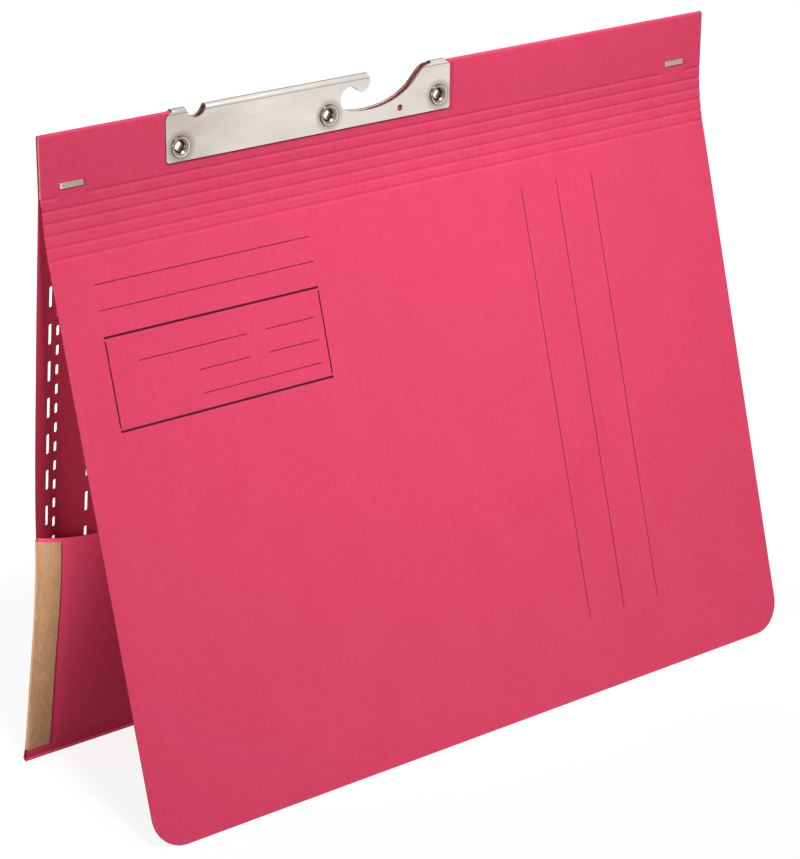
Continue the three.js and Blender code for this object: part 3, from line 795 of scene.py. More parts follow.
outlines = outlines_object("sheet outlines", [sheet_outline] + card_openings + small_openings)
slot_values = {"Slot width": 1.35, "Material": red_card}
for label, length, pitch, count, from_left, below_top in (
    ("Outer long", 8.3, 14.67, 13, 6.0, 42.6),
    ("Short", 4.2, 7.78, 21, 9.4, 65.4),
    ("Inner long", 8.3, 14.67, 13, 24.0, 41.8),
):
    middle = back_score + below_top - spine_height + length / 2
    slot_values[f"{label} length"] = length
    slot_values[f"{label} pitch"] = pitch
    slot_values[f"{label} count"] = count
    slot_values[f"{label} first"] = (from_left - half_width, middle, 0.0)
flat_sheet = grown(outlines, blank_tree, slot_values)
bpy.data.objects.remove(outlines)
print("flat sheet:", len(flat_sheet.polygons), "faces")

# %% [markdown]
# ## Creases, bow and print
#
# A score is a shallow groove pressed into the card, about 2 mm wide. The first score fades out where a
# staple clamps the spine. The back cover isn't quite flat: its foot bows back a little, and the tape
# draws the side edges of cover and pocket forwards. The pocket's mouth stands off from the cover, but
# not at its taped ends. These could be sculpted, but as a height off the flat sheet that is worked out
# from the place on it, they stay the same on the cover, the pocket and the tape that lies on both. The
# print is ruled lines only, cut as faces of their own on the outer side.

# %% Sizes of the relief
score_width = 2.1
score_depth = 0.2
back_score_depth = 0.1
score_lines = [-k * score_pitch for k in range(score_count)]
staple_clear = 7.5
staple_fade = 2.5
bow_start = 160.0
bow_size = 1.1
pocket_stand_off = 10.0
pocket_rise = 13.5
pull_reach = 6.0
flap_pull_reach = 80.0
sides_closed = 0.7
closing_rise = 0.3

# How far the tape draws an edge forwards, as pairs of a distance below the back score and a pull
tape_pull = [(0.0, 0.0), (20.0, 0.4), (43.0, 0.7), (84.0, 1.65), (100.0, 2.1), (117.0, 2.8)]
tape_pull += [(125.0, 3.3), (133.0, 4.0), (141.0, 4.6), (149.0, 4.9), (165.0, 4.6), (181.0, 3.8)]
tape_pull += [(197.0, 3.0), (213.0, 2.3), (222.0, 1.8), (231.5, 0.3)]
pull_drops, pull_sizes = zip(*tape_pull)
print("the tape draws the side edges forwards by up to", max(pull_sizes), "mm")


# %% Parts of the relief
def groove(distance, width, depth):
    """Depth of a round-bottomed groove at a distance from its middle."""
    near = np.abs(distance) < width / 2
    return np.where(near, -depth * (1 + np.cos(2 * math.pi * distance / width)) / 2, 0.0)


def ease(value, start, end):
    """From 0 at start to 1 at end, smoothly."""
    t = np.clip((value - start) / (end - start), 0, 1)
    return t * t * (3 - 2 * t)


def near_edge(x, reach):
    """1 at the sheet's side edges, fading inwards."""
    return np.exp(-np.maximum(half_width - np.abs(x), 0.0) / reach)


def bow(drop):
    """How far the back cover's foot stands behind its own plane, at a distance below its score."""
    return bow_size * ease(drop, bow_start, back_length)


def stand_off(x, up):
    """How far the flap stands off at a share up of its height: nothing at its taped sides."""
    return pocket_stand_off * (1 - near_edge(x, pocket_rise)) * up


def edge_pull(x, drop, reach):
    """How far the tape draws the side edge of a layer forwards, at a distance below the back score."""
    return np.interp(drop, pull_drops, pull_sizes) * near_edge(x, reach)


# %% The whole relief
def relief(x, s):
    """Height of the sheet's middle off its folded path."""
    height = np.zeros_like(s)
    for k, line in enumerate(score_lines):
        shape = groove(s - line, score_width, score_depth)
        if k == 0:
            for staple_x, _ in staples:
                shape = shape * ease(np.abs(x - staple_x), staple_clear - staple_fade, staple_clear)
        height += shape
    height += groove(s - back_score, score_width, back_score_depth)
    on_back = (s > back_score) & (s <= pocket_start)
    drop = s - back_score
    height += np.where(on_back, bow(drop) - edge_pull(x, drop, pull_reach), 0.0)
    round_fold = (s > pocket_start) & (s < flap_start)
    turned = (s - pocket_start) / pocket_arc
    height += np.where(round_fold, bow(back_length) * np.cos(math.pi * turned), 0.0)
    up_flap = np.clip((s - flap_start) / flap_length, 0, 1)
    on_flap = s >= flap_start
    drop = back_length - (s - flap_start)
    closing = sides_closed * near_edge(x, pull_reach) * ease(up_flap, 0.0, closing_rise)
    flap_height = stand_off(x, up_flap) + edge_pull(x, drop, flap_pull_reach) - closing - bow(drop)
    height += np.where(on_flap, flap_height, 0.0)
    return height


mouth_height = float(relief(np.array([0.0]), np.array([flap_end]))[0])
print("the middle of the pocket's mouth is", round(mouth_height, 1), "mm off its folded path")

# %% Ruled lines as rectangles: left, right, upper and lower edge below the last score
heavy = 0.85
thin = 0.3
upright = 0.6
corner_gap = 1.3
margin_top, margin_foot = 11.0, 187.6
left_edge, right_edge = 16.6, 112.0
box_top, box_foot = 30.4, 64.65

rules = [
    (left_edge, right_edge, box_top - heavy / 2, box_top + heavy / 2),
    (left_edge, right_edge, box_foot - heavy / 2, box_foot + heavy / 2),
    (left_edge, left_edge + upright, box_top + corner_gap, box_foot - corner_gap),
    (right_edge - upright, right_edge, box_top + corner_gap, box_foot - corner_gap),
]
for start, end, drop in (
    (16.7, 111.7, 11.1),
    (16.7, 112.0, 20.6),
    (29.3, 76.6, 41.1),
    (85.4, 107.9, 41.1),
    (53.9, 76.7, 49.75),
    (84.9, 108.2, 49.75),
    (54.0, 108.1, 58.5),
):
    rules.append((start, end, drop - thin / 2, drop + thin / 2))
for x in (216.5, 234.9, 253.5):
    rules.append((x - thin / 2, x + thin / 2, margin_top, margin_foot))
rules = [(a - half_width, b - half_width, last_score - d, last_score - c) for a, b, c, d in rules]
print(len(rules), "ruled lines")

# %% [markdown]
# ## Cutting, folding and thickening a piece of the sheet
#
# One sheet can't turn about seven creases as one piece, so it is parted half way between the creases.
# Every piece is cut across at the stations where it has to bend, then folded, and given its thickness
# with the cut edges as walls. A Solidify modifier gives thickness too, but here the walls need a
# material of their own: the cut edges and the inside of the spine's fold get a darker red, which is
# painted shade.


# %% Cutting a flat piece
cut_tolerance = 1e-4


def cut_across(work, place, direction, clear_outer=False):
    """New edges where a plane crosses a flat mesh, and nothing left beyond it if that is asked."""
    bmesh.ops.bisect_plane(
        work,
        geom=work.verts[:] + work.edges[:] + work.faces[:],
        dist=cut_tolerance,
        plane_co=place,
        plane_no=direction,
        clear_outer=clear_outer,
    )


def flat_piece(flat, low, high, s_lines=(), x_lines=()):
    """Points (x, s) and faces of one stretch of a flat sheet, with cuts at these lines."""
    work = bmesh.new()
    work.from_mesh(flat)
    cut_across(work, (0, low, 0), (0, -1, 0), clear_outer=True)
    cut_across(work, (0, high, 0), (0, 1, 0), clear_outer=True)
    for line in s_lines:
        if low + 10 * cut_tolerance < line < high - 10 * cut_tolerance:
            cut_across(work, (0, line, 0), (0, 1, 0))
    for line in x_lines:
        cut_across(work, (line, 0, 0), (1, 0, 0))
    bmesh.ops.dissolve_degenerate(work, edges=work.edges[:], dist=cut_tolerance)
    work.verts.ensure_lookup_table()
    points = np.array([v.co[:2] for v in work.verts], float)
    faces = []
    for face in work.faces:
        corners = [v.index for v in face.verts]
        faces.append(corners if face.normal.z > 0 else corners[::-1])
    work.free()
    return points, faces


# %% Thickness
def thick(points, faces, half):
    """Outer faces, inner faces and edge walls of a flat piece, as points (x, s, n) and faces."""
    count = len(points)
    upper = np.column_stack((points, np.full(count, half)))
    lower = np.column_stack((points, np.full(count, -half)))
    sides = dict.fromkeys(side for face in faces for side in zip(face, face[1:] + face[:1]))
    walls = [(b, a, a + count, b + count) for a, b in sides if (b, a) not in sides]
    inner = [tuple(i + count for i in reversed(face)) for face in faces]
    return np.vstack((upper, lower)), [tuple(face) for face in faces], inner, walls


# %% A folded piece as an object
def smoothed(mesh, sharp_angle):
    """Smooth shading, apart from edges sharper than an angle in degrees."""
    mesh.polygons.foreach_set("use_smooth", np.ones(len(mesh.polygons), bool))
    mesh.update()
    mesh.set_sharp_from_angle(angle=math.radians(sharp_angle))


def sheet_object(name, knots, solid, outer, inner, walls, materials, face_slots=0, wall_slots=1):
    """A folded piece as an object, with the flat sheet's coordinates as its UV map."""
    mesh = bpy.data.meshes.new(name)
    mesh.from_pydata(folded(knots, solid), [], outer + inner + walls)
    for entry in materials:
        mesh.materials.append(entry)
    slots = np.zeros(len(mesh.polygons), np.int32)
    slots[: len(outer) + len(inner)] = face_slots
    slots[len(outer) + len(inner) :] = wall_slots
    mesh.polygons.foreach_set("material_index", slots)
    layout = mesh.uv_layers.new(name="sheet")
    corners = np.zeros(len(mesh.loops), np.int32)
    mesh.loops.foreach_get("vertex_index", corners)
    layout.data.foreach_set("uv", (solid[corners, :2] * MM).astype(np.float32).ravel())
    smoothed(mesh, 35)
    mesh.validate()
    return in_scene(name, mesh)


# %% A piece of the card
card_looks = [red_card, card_edge_painted_shade, ink_on_card]
dyed, cut, inked = range(3)
side_margin = 0.05


def card_piece(name, low, high, s_lines=(), x_lines=(), ink=False, painted_shade_inside=None):
    """One stretch of the card, creased, folded and thick, with print or painted shade on its inside if
    asked.
    """
    points, faces = flat_piece(flat_sheet, low, high, s_lines, x_lines)
    solid, outer, inner, walls = thick(points, faces, half_card)
    solid[:, 2] += relief(solid[:, 0], solid[:, 1])
    # The walls get the darker red of painted shade, and so does the inside where it is asked for.
    outer_slots = np.full(len(faces), dyed, np.int32)
    inner_slots = np.full(len(faces), dyed, np.int32)
    wall_slots = np.full(len(walls), cut, np.int32)
    x, s = np.array([points[face].mean(axis=0) for face in faces]).T
    if ink:
        for left, right, low_s, high_s in rules:
            outer_slots[(x > left) & (x < right) & (s > low_s) & (s < high_s)] = inked
    if painted_shade_inside:
        low_s, high_s = painted_shade_inside
        inner_slots[(s > low_s) & (s < high_s)] = cut
        at_side = [min(abs(solid[i, 0]) for i in wall) > half_width - side_margin for wall in walls]
        wall_slots[at_side] = dyed
    face_slots = np.concatenate((outer_slots, inner_slots))
    return sheet_object(name, card_path, solid, outer, inner, walls, card_looks, face_slots, wall_slots)


# %% Stations at a crease, and places on the folded sheet
def near_crease(line):
    """Stations that follow a groove and its bend, with flat ones on both sides of it."""
    across = (-1.8, -1.4, -1.15, -0.9, -0.65, -0.4, -0.2, 0.0, 0.2, 0.4, 0.65, 0.9, 1.15, 1.4, 1.8)
    return [line + offset for offset in across]


print(len(near_crease(0.0)), "stations at each crease")

# %% [markdown]
# ## The spine and its folds
#
# The spine is the stretch of card from the first score over the top to the back cover. The four folds
# below it bend at one score each. They could be stiff strips that touch, but then gaps would open when
# the cover swings. So each piece reaches from half way above its score to half way below it, and the
# card bends there unbroken.

# %% The spine and the folds below it
part_lines = [-(k + 0.5) * score_pitch for k in range(score_count - 1)]
part_above_score = 2.0
spine_foot = back_score - part_above_score

over_fold = list(np.linspace(top_start, top_start + fold_arc, 9))
over_fold += list(np.linspace(top_end - fold_arc, top_end, 9))
near_staples = []
for staple_x, _ in staples:
    for side in (-1, 1):
        near_staples += [staple_x + side * reach for reach in np.linspace(4.6, 8.2, 7)]

spine_sheet = card_piece(
    "spine_sheet",
    part_lines[0],
    spine_foot,
    near_crease(0.0) + over_fold,
    near_staples,
    painted_shade_inside=(2.0, spine_foot - 2.0),
)
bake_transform(spine_sheet)
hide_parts("spine_card")

for k in range(2, score_count):
    line = score_lines[k - 1]
    piece = card_piece(f"front_fold_{k}", part_lines[k - 1], part_lines[k - 2], near_crease(line))
    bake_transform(piece)
    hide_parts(f"front_strip_{k - 1}")
print("spine and", score_count - 2, "folds")

# %% [markdown]
# ## The front cover
#
# The last score and the panel below it are one piece. It is cut along the edges of the ruled lines too,
# and the faces inside them get the ink. Thin strips laid on the card would flicker or cast shadows, and
# this way the print is part of the card and moves with it.

# %% The front cover with its print
ink_s = sorted({edge for rule in rules for edge in rule[2:]})
ink_x = sorted({edge for rule in rules for edge in rule[:2]})
front_cover_sheet = card_piece(
    "front_cover_sheet",
    front_foot - 1.0,
    part_lines[-1],
    near_crease(last_score) + ink_s,
    ink_x,
    ink=True,
)
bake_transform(front_cover_sheet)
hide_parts("front_strip_5", "front_cover_panel")
print("front cover:", len(front_cover_sheet.data.polygons), "faces")

# %% [markdown]
# ## The back cover and its pocket
#
# The back cover hangs from its own score. It is cut into rows and columns that are close together near
# the side edges, where the tape draws it into a curve, and wide apart in the middle, where it is flat.
# The pocket is the foot of the same sheet, folded up inside. Its tight fold needs rows of its own, so it
# is a piece of its own, which turns with the cover.

# %% The back cover and its pocket
bow_lines = list(back_score + np.arange(8.0, back_length, 7.5))
side_distances = [0.5, 1.5, 3.0, 4.7, 7.6, 8.1, 11.0, 13.0, 16.0, 20.0, 22.5, 26.0]
side_distances += [32.0, 40.0, 52.0, 70.0, 95.0, 125.0]
side_lines = [side * (half_width - distance) for side in (-1, 1) for distance in side_distances]
back_cover_sheet = card_piece(
    "back_cover_sheet", spine_foot, pocket_start, near_crease(back_score) + bow_lines, side_lines
)
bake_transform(back_cover_sheet)
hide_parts("back_cover_panel")

flap_lines = list(np.linspace(pocket_start, flap_start, 13))
flap_lines += list(np.arange(flap_start + 2.0, flap_end, 6.5))
pocket_flap = card_piece(
    "pocket_flap_sheet", pocket_start, flap_end + 1.0, flap_lines, side_lines + [0.0]
)
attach(pocket_flap, "back_cover")
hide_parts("pocket_flap")
print("back cover:", len(back_cover_sheet.data.polygons), "faces")
print("pocket:", len(pocket_flap.data.polygons), "faces")

# %% [markdown]
# ## The hanger
#
# The hanger is one strip of nickel-plated steel. It is blanked flat with its two halves end to end, and
# then folded over the spine, just as the card is. It could be two plates and a cap, but a folded strip
# has no joints to hide. Its edges are rounded a little by a bevel, and the bevel and the walls get the
# bare steel, which is darker than the plated faces and darker still as painted shade along the edges.


# %% The hanger's path
metal_gap = 0.05
hanger_half = hanger_thickness / 2
hanger_arc = quarter * (hanger_rise + fold_radius - hanger_half)
hanger_flat = spine_thickness - 2 * fold_radius
hanger_middle = -fold_radius + hanger_arc + hanger_flat / 2
hanger_front_y = -metal_gap - hanger_half
small_hole_x, small_hole_up, small_hole_radius = 106.8, 3.8, 1.2

hanger_leg = (hanger_height - fold_radius, 0.0)
hanger_bend = (hanger_arc, -quarter)
on_leg = -10.0
hanger_path = path_of(
    -hanger_height,
    quarter,
    [hanger_leg, hanger_bend, (hanger_flat, 0.0), hanger_bend, hanger_leg],
    (on_leg, hanger_front_y, on_leg),
)
print("the flat strip is", round(2 * (hanger_middle + hanger_height), 1), "mm long")


# %% The hanger's outlines
def hanger_side():
    """The hanger's front half from its left end of the fold, round its foot, to the right end."""
    low_z = lower_corner - hanger_height
    points = arc(left_corner, -left_corner - corner_drop, left_corner, quarter, math.pi, 9)
    points += arc(lower_corner, low_z, lower_corner, math.pi, 3 * quarter, 6)
    points += arc(hanger_length - lower_corner, low_z, lower_corner, -quarter, 0.0, 6)
    top_x = hanger_length - right_corner
    points += arc(top_x, -right_corner - corner_drop, right_corner, 0.0, quarter, 7)
    return [(hanger_x + x, z) for x, z in points]


hanger_loops = []
for edge in (hanger_side(), notch_edge(hanger_rise), hook_edge(hanger_rise)):
    inner = hanger_rise + fold_radius - hanger_half
    on_strip = along_sheet(edge, hanger_rise, inner, -fold_radius)
    hanger_loops.append(both_legs(on_strip, hanger_middle))
for x, z in rivets:
    for s in (z, 2 * hanger_middle - z):
        hanger_loops.append(circle(x, s, rivet_hole_radius, 32))
hanger_loops.append(
    circle(hanger_x + small_hole_x, small_hole_up - hanger_height, small_hole_radius, 24)
)
print(len(hanger_loops), "outlines: the strip's own, its openings and its holes")

# %% The hanger, blanked and folded
strip_tree, given, result = node_group("blanked strip", {"Material": "Material"})
strip_faces = filled(strip_tree, as_curve(strip_tree, given))
set_material(strip_tree, realized(strip_tree, strip_faces), given, result)

outlines = outlines_object("hanger outlines", hanger_loops)
flat_hanger = grown(outlines, strip_tree, {"Material": nickel})
bpy.data.objects.remove(outlines)

fold_lines = []
for start in (-fold_radius, -fold_radius + hanger_arc + hanger_flat):
    fold_lines += list(np.linspace(start, start + hanger_arc, 11))
far_foot = 2 * hanger_middle + hanger_height
points, faces = flat_piece(flat_hanger, -hanger_height - 1.0, far_foot + 1.0, fold_lines)
solid, outer, inner, walls = thick(points, faces, hanger_half)
hanger = sheet_object("hanger", hanger_path, solid, outer, inner, walls, [nickel, cut_steel_and_painted_shade])
print("hanger before its edges are rounded:", len(hanger.data.polygons), "faces")


# %% Rounding the edges of a plate
flat_degrees = 1.5
bevel_degrees = 40.0


def softened(obj, width, edge_slot=-1):
    """Rounds the sharp edges of a thin plate a little, after its flat faces are made whole again."""
    work = bmesh.new()
    work.from_mesh(obj.data)
    bmesh.ops.remove_doubles(work, verts=work.verts, dist=1e-7)
    bmesh.ops.dissolve_limit(
        work,
        angle_limit=math.radians(flat_degrees),
        verts=work.verts,
        edges=work.edges,
        delimit={"MATERIAL"},
    )
    closed = [edge for edge in work.edges if len(edge.link_faces) == 2]
    bmesh.ops.bevel(
        work,
        geom=[edge for edge in closed if edge.calc_face_angle() > math.radians(bevel_degrees)],
        offset=width * MM,
        segments=2,
        profile=0.5,
        affect="EDGES",
        clamp_overlap=True,
        material=edge_slot,
    )
    bmesh.ops.triangulate(work, faces=[face for face in work.faces if len(face.verts) > 4])
    work.to_mesh(obj.data)
    work.free()
    smoothed(obj.data, 35)


# The wide bevel takes the dark bare steel, which is partly painted shade along the plate's edges.
softened(hanger, 0.27, edge_slot=1)
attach(hanger, "spine")
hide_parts("hanger_rail")
print("hanger:", len(hanger.data.polygons), "faces")

# %% [markdown]
# ## Hollow rivets
#
# Each rivet is a drawn tube with a thin rolled rim and a funnel at the front. Its far end is split into
# four petals that are pressed flat on the back leg, which pulls the bore to a diamond. A Screw modifier
# could turn the profile, but its rings would all be round, so the rings are made in a loop that can
# pull them in. One rivet is made, and Geometry Nodes set it on three points, because all three are alike.


# %% The rivet's profile
mouth_radius = 4.1
shank_radius = 2.95
petal_split = 0.22
bore_pull = 0.55
front_seat = hanger_front_y - hanger_half - metal_gap
back_seat = spine_thickness + metal_gap + hanger_thickness + metal_gap

profile = [
    (mouth_radius, front_seat, 0.0),
    (mouth_radius, front_seat - 0.18, 0.0),
    (mouth_radius - 0.08, front_seat - 0.29, 0.0),
    (mouth_radius - 0.22, front_seat - 0.34, 0.0),
    (mouth_radius - 0.38, front_seat - 0.28, 0.0),
    (3.45, front_seat - 0.1, 0.05),
    (2.85, front_seat + 0.3, 0.2),
    (2.4, front_seat + 0.7, 0.5),
    (2.05, front_seat + 1.15, 0.8),
    (1.9, front_seat + 1.6, 0.9),
    (2.0, back_seat - 0.35, 0.9),
    (2.25, back_seat + 0.1, 0.9),
    (2.7, back_seat + 0.32, 0.8),
    (3.35, back_seat + 0.34, 0.75),
    (3.85, back_seat + 0.2, 0.7),
    (3.95, back_seat + 0.04, 0.7),
    (3.6, back_seat, 0.7),
    (shank_radius, back_seat, 0.3),
    (shank_radius, back_seat - 0.6, 0.0),
    (shank_radius, front_seat, 0.0),
]
print("the profile has", len(profile), "rings")


# %% Rings that are pulled in
def kept_share(radius, y, petal, angle):
    """The share of its radius that a point keeps, where the bore is a diamond and the end is split."""
    diamond = 1 / (abs(math.cos(angle)) + abs(math.sin(angle)))
    if y < 0:
        return 1 - petal * (1 - diamond)
    if radius > shank_radius:
        return 1 - petal_split * petal * abs(math.cos(2 * angle)) ** 4
    if radius < shank_radius:
        return 1 - bore_pull * petal * (1 - diamond)
    return 1.0


def facing_out(mesh):
    """Turns the faces of a closed mesh outwards."""
    work = bmesh.new()
    work.from_mesh(mesh)
    bmesh.ops.recalc_face_normals(work, faces=work.faces)
    work.to_mesh(mesh)
    work.free()


# %% One rivet
around = 64
points = []
for radius, y, petal in profile:
    for a in np.linspace(0, 2 * math.pi, around, endpoint=False):
        r = radius * kept_share(radius, y, petal, a)
        points.append((r * math.cos(a) * MM, y * MM, r * math.sin(a) * MM))
faces = []
rings = len(profile)
for ring in range(rings):
    low_ring = ring * around
    high_ring = ((ring + 1) % rings) * around
    for i in range(around):
        j = (i + 1) % around
        faces.append((low_ring + i, high_ring + i, high_ring + j, low_ring + j))
mesh = bpy.data.meshes.new("rivet")
mesh.from_pydata(points, [], faces)
facing_out(mesh)
smoothed(mesh, 50)
one_rivet = in_scene("one rivet", mesh)
print("one rivet:", len(mesh.polygons), "faces")

# %% Copies on points, and the three rivets
copies_tree, given, result = node_group("copies on points", {"Piece": "Object", "Material": "Material"})
piece_info = add(copies_tree, "GeometryNodeObjectInfo", {"Object": given["Piece"]})
on_points = {"Points": given["Geometry"], "Instance": piece_info.outputs["Geometry"]}
set_out = add(copies_tree, "GeometryNodeInstanceOnPoints", on_points).outputs["Instances"]
set_material(copies_tree, realized(copies_tree, set_out), given, result)


def copies(name, places, piece, finish):
    """One mesh of copies of a piece on these places, in millimetres from the spine's front top edge."""
    mesh = bpy.data.meshes.new(name)
    placed = [(x * MM, (y + spine_front_y) * MM, (z + spine_top_z) * MM) for x, y, z in places]
    mesh.from_pydata(placed, [], [])
    holder = in_scene(name, mesh)
    holder.data = grown(holder, copies_tree, {"Piece": piece, "Material": finish})
    holder.data.name = name
    bpy.data.objects.remove(piece)
    return holder


rivet_set = copies("rivets", [(x, 0.0, z) for x, z in rivets], one_rivet, rivet_nickel_painted_light)
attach(rivet_set, "spine")
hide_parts("rivet_left", "rivet_middle", "rivet_right")
print("rivets:", len(rivet_set.data.polygons), "faces")

# %% [markdown]
# ## Staples
#
# Stitching wire for card is a flat band of fine wires glued side by side. One flat band would look too
# smooth, so five strands are swept along the same bent path: the crown in front, two legs through the
# spine, and their ends clinched inwards behind. The node group works out how thick a strand has to be.


# %% A node group for a staple of flat wire
staple_tree, given, result = node_group(
    "flat wire staple",
    {"Strands": "Int", "Band width": "Float", "Bend radius": "Float", "Material": "Material"},
)
rounding = {"Curve": as_curve(staple_tree, given), "Radius": given["Bend radius"], "Count": 4}
bends = add(staple_tree, "GeometryNodeFilletCurve", rounding, mode="POLY").outputs["Curve"]
strand_width = maths(staple_tree, "DIVIDE", given["Band width"], given["Strands"])
strand_radius = maths(staple_tree, "MULTIPLY", strand_width, 0.5)
ring_size = {"Resolution": 10, "Radius": strand_radius}
ring = add(staple_tree, "GeometryNodeCurvePrimitiveCircle", ring_size).outputs["Curve"]
sweep = {"Curve": bends, "Profile Curve": ring, "Fill Caps": True}
strand = add(staple_tree, "GeometryNodeCurveToMesh", sweep).outputs["Mesh"]
offset = add(staple_tree, "ShaderNodeCombineXYZ", {"Z": strand_width}).outputs[0]
row = {"Count": given["Strands"], "Offset": offset}
line = add(staple_tree, "GeometryNodeMeshLine", row).outputs["Mesh"]
side_by_side = {"Points": line, "Instance": strand}
band = add(staple_tree, "GeometryNodeInstanceOnPoints", side_by_side).outputs["Instances"]
solid_band = {"Geometry": realized(staple_tree, band)}
smooth_band = add(staple_tree, "GeometryNodeSetShadeSmooth", solid_band).outputs["Geometry"]
set_material(staple_tree, smooth_band, given, result)
print("node group", staple_tree.name, "with", len(staple_tree.nodes), "nodes")

# %% Two staples
strand_count = 5
clinch = 3.4
wire_bend = 0.3
strand = staple_width / strand_count
reach = (staple_crown - strand) / 2
front_y = -metal_gap - strand / 2
back_y = spine_thickness + metal_gap + strand / 2
staple_path = [
    (-reach + clinch, back_y, 0.0),
    (-reach, back_y, 0.0),
    (-reach, front_y, 0.0),
    (reach, front_y, 0.0),
    (reach, back_y, 0.0),
    (reach - clinch, back_y, 0.0),
]
mesh = bpy.data.meshes.new("staple path")
corners = [Vector(corner) * MM for corner in staple_path]
mesh.from_pydata(corners, [(i, i + 1) for i in range(len(corners) - 1)], [])
one_staple = in_scene("one staple", mesh)
staple_values = {"Strands": strand_count, "Band width": staple_width * MM}
staple_values |= {"Bend radius": wire_bend * MM, "Material": wire}
one_staple.data = grown(one_staple, staple_tree, staple_values)
staple_low = -staple_width / 2 + strand / 2
staple_places = [(x, 0.0, s - spine_height + staple_low) for x, s in staples]
staple_set = copies("staples", staple_places, one_staple, wire)
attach(staple_set, "spine")
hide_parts("staple_left", "staple_right")
print("staples:", len(staple_set.data.polygons), "faces")

# %% [markdown]
# ## Tape over the pocket's sides
#
# Strips of brown gummed paper close the pocket at both ends. Each runs up the flap's face, round the
# edge and down the back of the cover, and is a little narrower at the mouth. It could be shrink-wrapped
# on the card, but each row of its points is laid on the same relief as the card and folded with the same
# path instead, so that it keeps an even distance from the card everywhere.


# %% One row of a tape
tape_thickness = 0.15
tape_gap = 0.1
tape_back = 8.0
tape_turn = 0.3
tape_foot = back_length + pocket_radius - 5.5
tape_mouth = back_length + pocket_radius - pocket_depth + 1.5
tape_rows = np.linspace(tape_foot, tape_mouth, 24)
tape_fronts = [7.5, 8.1, 9.5]
front_drops = [tape_mouth, (tape_mouth + tape_foot) / 2, tape_foot]


def tape_section(side, drop, lift):
    """One row of points across the tape, from its front edge round to its back edge."""
    tape_front = np.interp(drop, front_drops, tape_fronts)
    strips = []
    for s, distances in (
        (flap_start + back_length - drop, np.linspace(tape_front, tape_turn, 9)),
        (back_score + drop, np.linspace(tape_turn, tape_back, 7)),
    ):
        strip = np.array([(side * x, s, half_card + tape_gap + lift) for x in half_width - distances])
        strip[:, 2] += relief(strip[:, 0], strip[:, 1])
        strips.append(folded(card_path, strip))
    front, rear = strips
    ends = []
    for share in (0.12, 0.5, 0.88):
        point = front[-1] * (1 - share) + rear[0] * share
        point[0] = side * (half_width + tape_gap + lift) * MM
        ends.append(point)
    return np.vstack((front, ends, rear))


print(len(tape_rows), "rows of", len(tape_section(-1, tape_foot, 0.0)), "points in each tape")

# %% Two tapes
for side, name in ((-1, "left"), (1, "right")):
    outer_rows = [tape_section(side, drop, tape_thickness) for drop in tape_rows]
    inner_rows = [tape_section(side, drop, 0.0) for drop in tape_rows]
    across = len(outer_rows[0])
    rows = len(tape_rows)
    faces = []
    for base in (0, rows * across):
        for row in range(rows - 1):
            for i in range(across - 1):
                a = base + row * across + i
                faces.append((a, a + 1, a + across + 1, a + across))
    shift = rows * across
    rim = list(range(across))
    rim += [row * across + across - 1 for row in range(1, rows)]
    rim += [(rows - 1) * across + i for i in range(across - 2, -1, -1)]
    rim += [row * across for row in range(rows - 2, 0, -1)]
    for a, b in zip(rim, rim[1:] + rim[:1]):
        faces.append((a, b, b + shift, a + shift))
    mesh = bpy.data.meshes.new(f"pocket_tape_{name}_paper")
    mesh.from_pydata(np.vstack(outer_rows + inner_rows), [], faces)
    facing_out(mesh)
    mesh.materials.append(kraft)
    smoothed(mesh, 60)
    tape = in_scene(f"pocket_tape_{name}_paper", mesh)
    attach(tape, "back_cover")
    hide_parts(f"pocket_tape_{name}")
print("two tapes")

# %% [markdown]
# ## Fastener and board
#
# The fastener is stamped from thin tin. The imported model's shapes are already as detailed as thin sheet
# needs, so copies of them only get softened edges and the look of tin. The board inside the spine keeps
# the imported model's shape as well, and gets grey board's look.

# %% Tin fastener and grey board
for node_name, body in (
    ("fastener_prong_strip", "back_cover"),
    ("fastener_cover_bar", "back_cover"),
    ("fastener_slider_left", "slider_left"),
    ("fastener_slider_right", "slider_right"),
):
    mesh = nodes[node_name].data.copy()
    mesh.materials.clear()
    mesh.materials.append(tin)
    piece = in_scene(f"{node_name}_tin", mesh)
    softened(piece, 0.07)
    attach(piece, body)
    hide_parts(node_name)

board = nodes["spine_core_board"]
board.data.materials.clear()
board.data.materials.append(grey_board)
print("tin fastener and grey board")

# %% [markdown]
# ## Camera
#
# A long lens from the front left, a little above the folder. Its place and its lens come from fitting a
# pinhole camera and the folder's sizes to the edges of the real folder in one picture.

# %% Camera
camera_data = bpy.data.cameras.new("camera")
camera_data.lens = 120.28
camera_data.sensor_width = 36.0
camera = in_scene("camera", camera_data)
right = Vector((0.78249, -0.62261, 0.00766))
up = Vector((0.22103, 0.28925, 0.93138))
back = Vector((-0.58211, -0.72711, 0.36396))
place = Vector((-0.66123, -0.81091, 0.52218))
camera.matrix_world = Matrix.LocRotScale(place, Matrix((right, up, back)).transposed(), None)
bpy.context.scene.camera = camera
print("camera", round((place - Vector((0, 0, 0.12))).length, 3), "m from the folder")

# %% [markdown]
# ## Light and floor
#
# Three soft round lamps light the folder. The key lamp is above the front, a little to the left, and
# lights the outer faces. A weaker one from the left reaches in between the covers, and a third one stands
# behind. The rest of the room gives little light, so the space between the covers stays dark, as in a
# real folder. An evenly lit room would be simpler, but it would fill that space with light. The white of
# the background is seen only by the camera and in reflections, and adds no diffuse light. The floor
# glows white in the same way, a little less near the folder, so that the folder's shadow shows on it.


# %% Room
def seen_background(tree):
    """1 for rays that show the background: from the camera, through glass and off metal."""
    path = add(tree, "ShaderNodeLightPath").outputs
    seen = maths(tree, "MAXIMUM", path["Is Camera Ray"], path["Is Transmission Ray"])
    return maths(tree, "MAXIMUM", seen, path["Is Glossy Ray"])


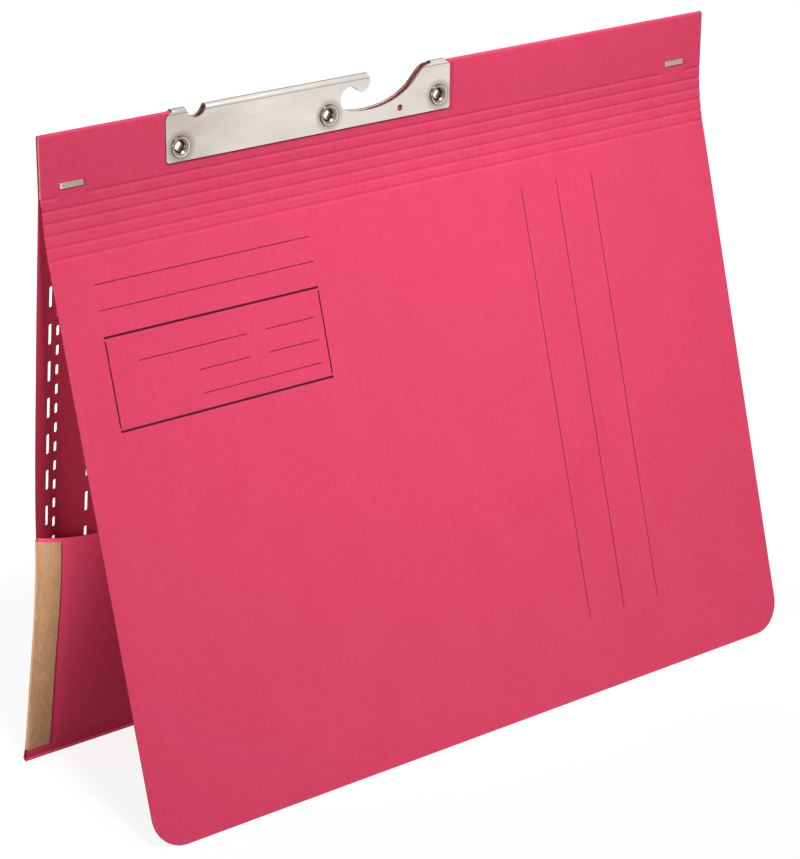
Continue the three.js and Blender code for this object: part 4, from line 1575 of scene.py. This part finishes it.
bpy.context.scene.view_settings.view_transform = "Standard"

world = bpy.data.worlds.new("studio")
world.use_nodes = True
bpy.context.scene.world = world
tree = world.node_tree
room = tree.nodes["Background"]
feed(tree, room.inputs["Color"], white)
feed(tree, room.inputs["Strength"], 0.2)
backdrop = add(tree, "ShaderNodeBackground", {"Color": white, "Strength": 1.0})
inputs = {0: seen_background(tree), 1: room.outputs[0], 2: backdrop.outputs[0]}
mix = add(tree, "ShaderNodeMixShader", inputs)
feed(tree, tree.nodes["World Output"].inputs["Surface"], mix.outputs[0])


# %% Lamps
def lamp(name, position, target, power, half_angle, blend, size):
    """A soft round lamp that looks at a point and fades towards the edge of its pool of light."""
    data = bpy.data.lights.new(name, "SPOT")
    data.spot_size = 2 * half_angle
    data.spot_blend = blend
    data.shadow_soft_size = size
    data.energy = power
    new = in_scene(name, data)
    new.location = position
    aim = Vector(target) - Vector(position)
    new.rotation_euler = aim.to_track_quat("-Z", "Y").to_euler()
    new.visible_camera = False


lamp(
    "key lamp",
    position=(-0.3, -1.5, 2.2),
    target=(0.045, 0.0, 0.335),
    power=272.0,
    half_angle=0.155,
    blend=0.8,
    size=0.3,
)
lamp(
    "side lamp",
    position=(-1.5, -0.28, 0.5),
    target=(-0.13, 0.0, 0.12),
    power=128.0,
    half_angle=0.24,
    blend=1.0,
    size=0.25,
)
lamp(
    "back lamp",
    position=(0.5, 1.6, 1.1),
    target=(0.0, 0.05, 0.15),
    power=60.0,
    half_angle=0.2,
    blend=1.0,
    size=0.4,
)

# %% Floor
floor_grey = (0.25, 0.25, 0.25, 1.0)
glow_start, glow_end = 0.1, 0.45
floor_half = 4.0

floor_material, tree, shader = material("floor")
surface(tree, shader, floor_grey, roughness=0.9, specular=0.0)
feed(tree, shader.inputs["Emission Color"], white)
from_middle = vector_maths(tree, "LENGTH", object_place(tree)).outputs["Value"]
glow = between(tree, from_middle, glow_start, glow_end, start=0.8)
glow_seen = maths(tree, "MULTIPLY", glow, seen_background(tree))
feed(tree, shader.inputs["Emission Strength"], glow_seen)
floor_mesh = bpy.data.meshes.new("floor")
corners = [(x, y, 0.0) for x, y in rectangle(0.0, 0.0, floor_half, floor_half)]
floor_mesh.from_pydata(corners, [], [(0, 1, 2, 3)])
floor_mesh.materials.append(floor_material)
floor = in_scene("floor", floor_mesh)
print("three lamps, the room and a floor")
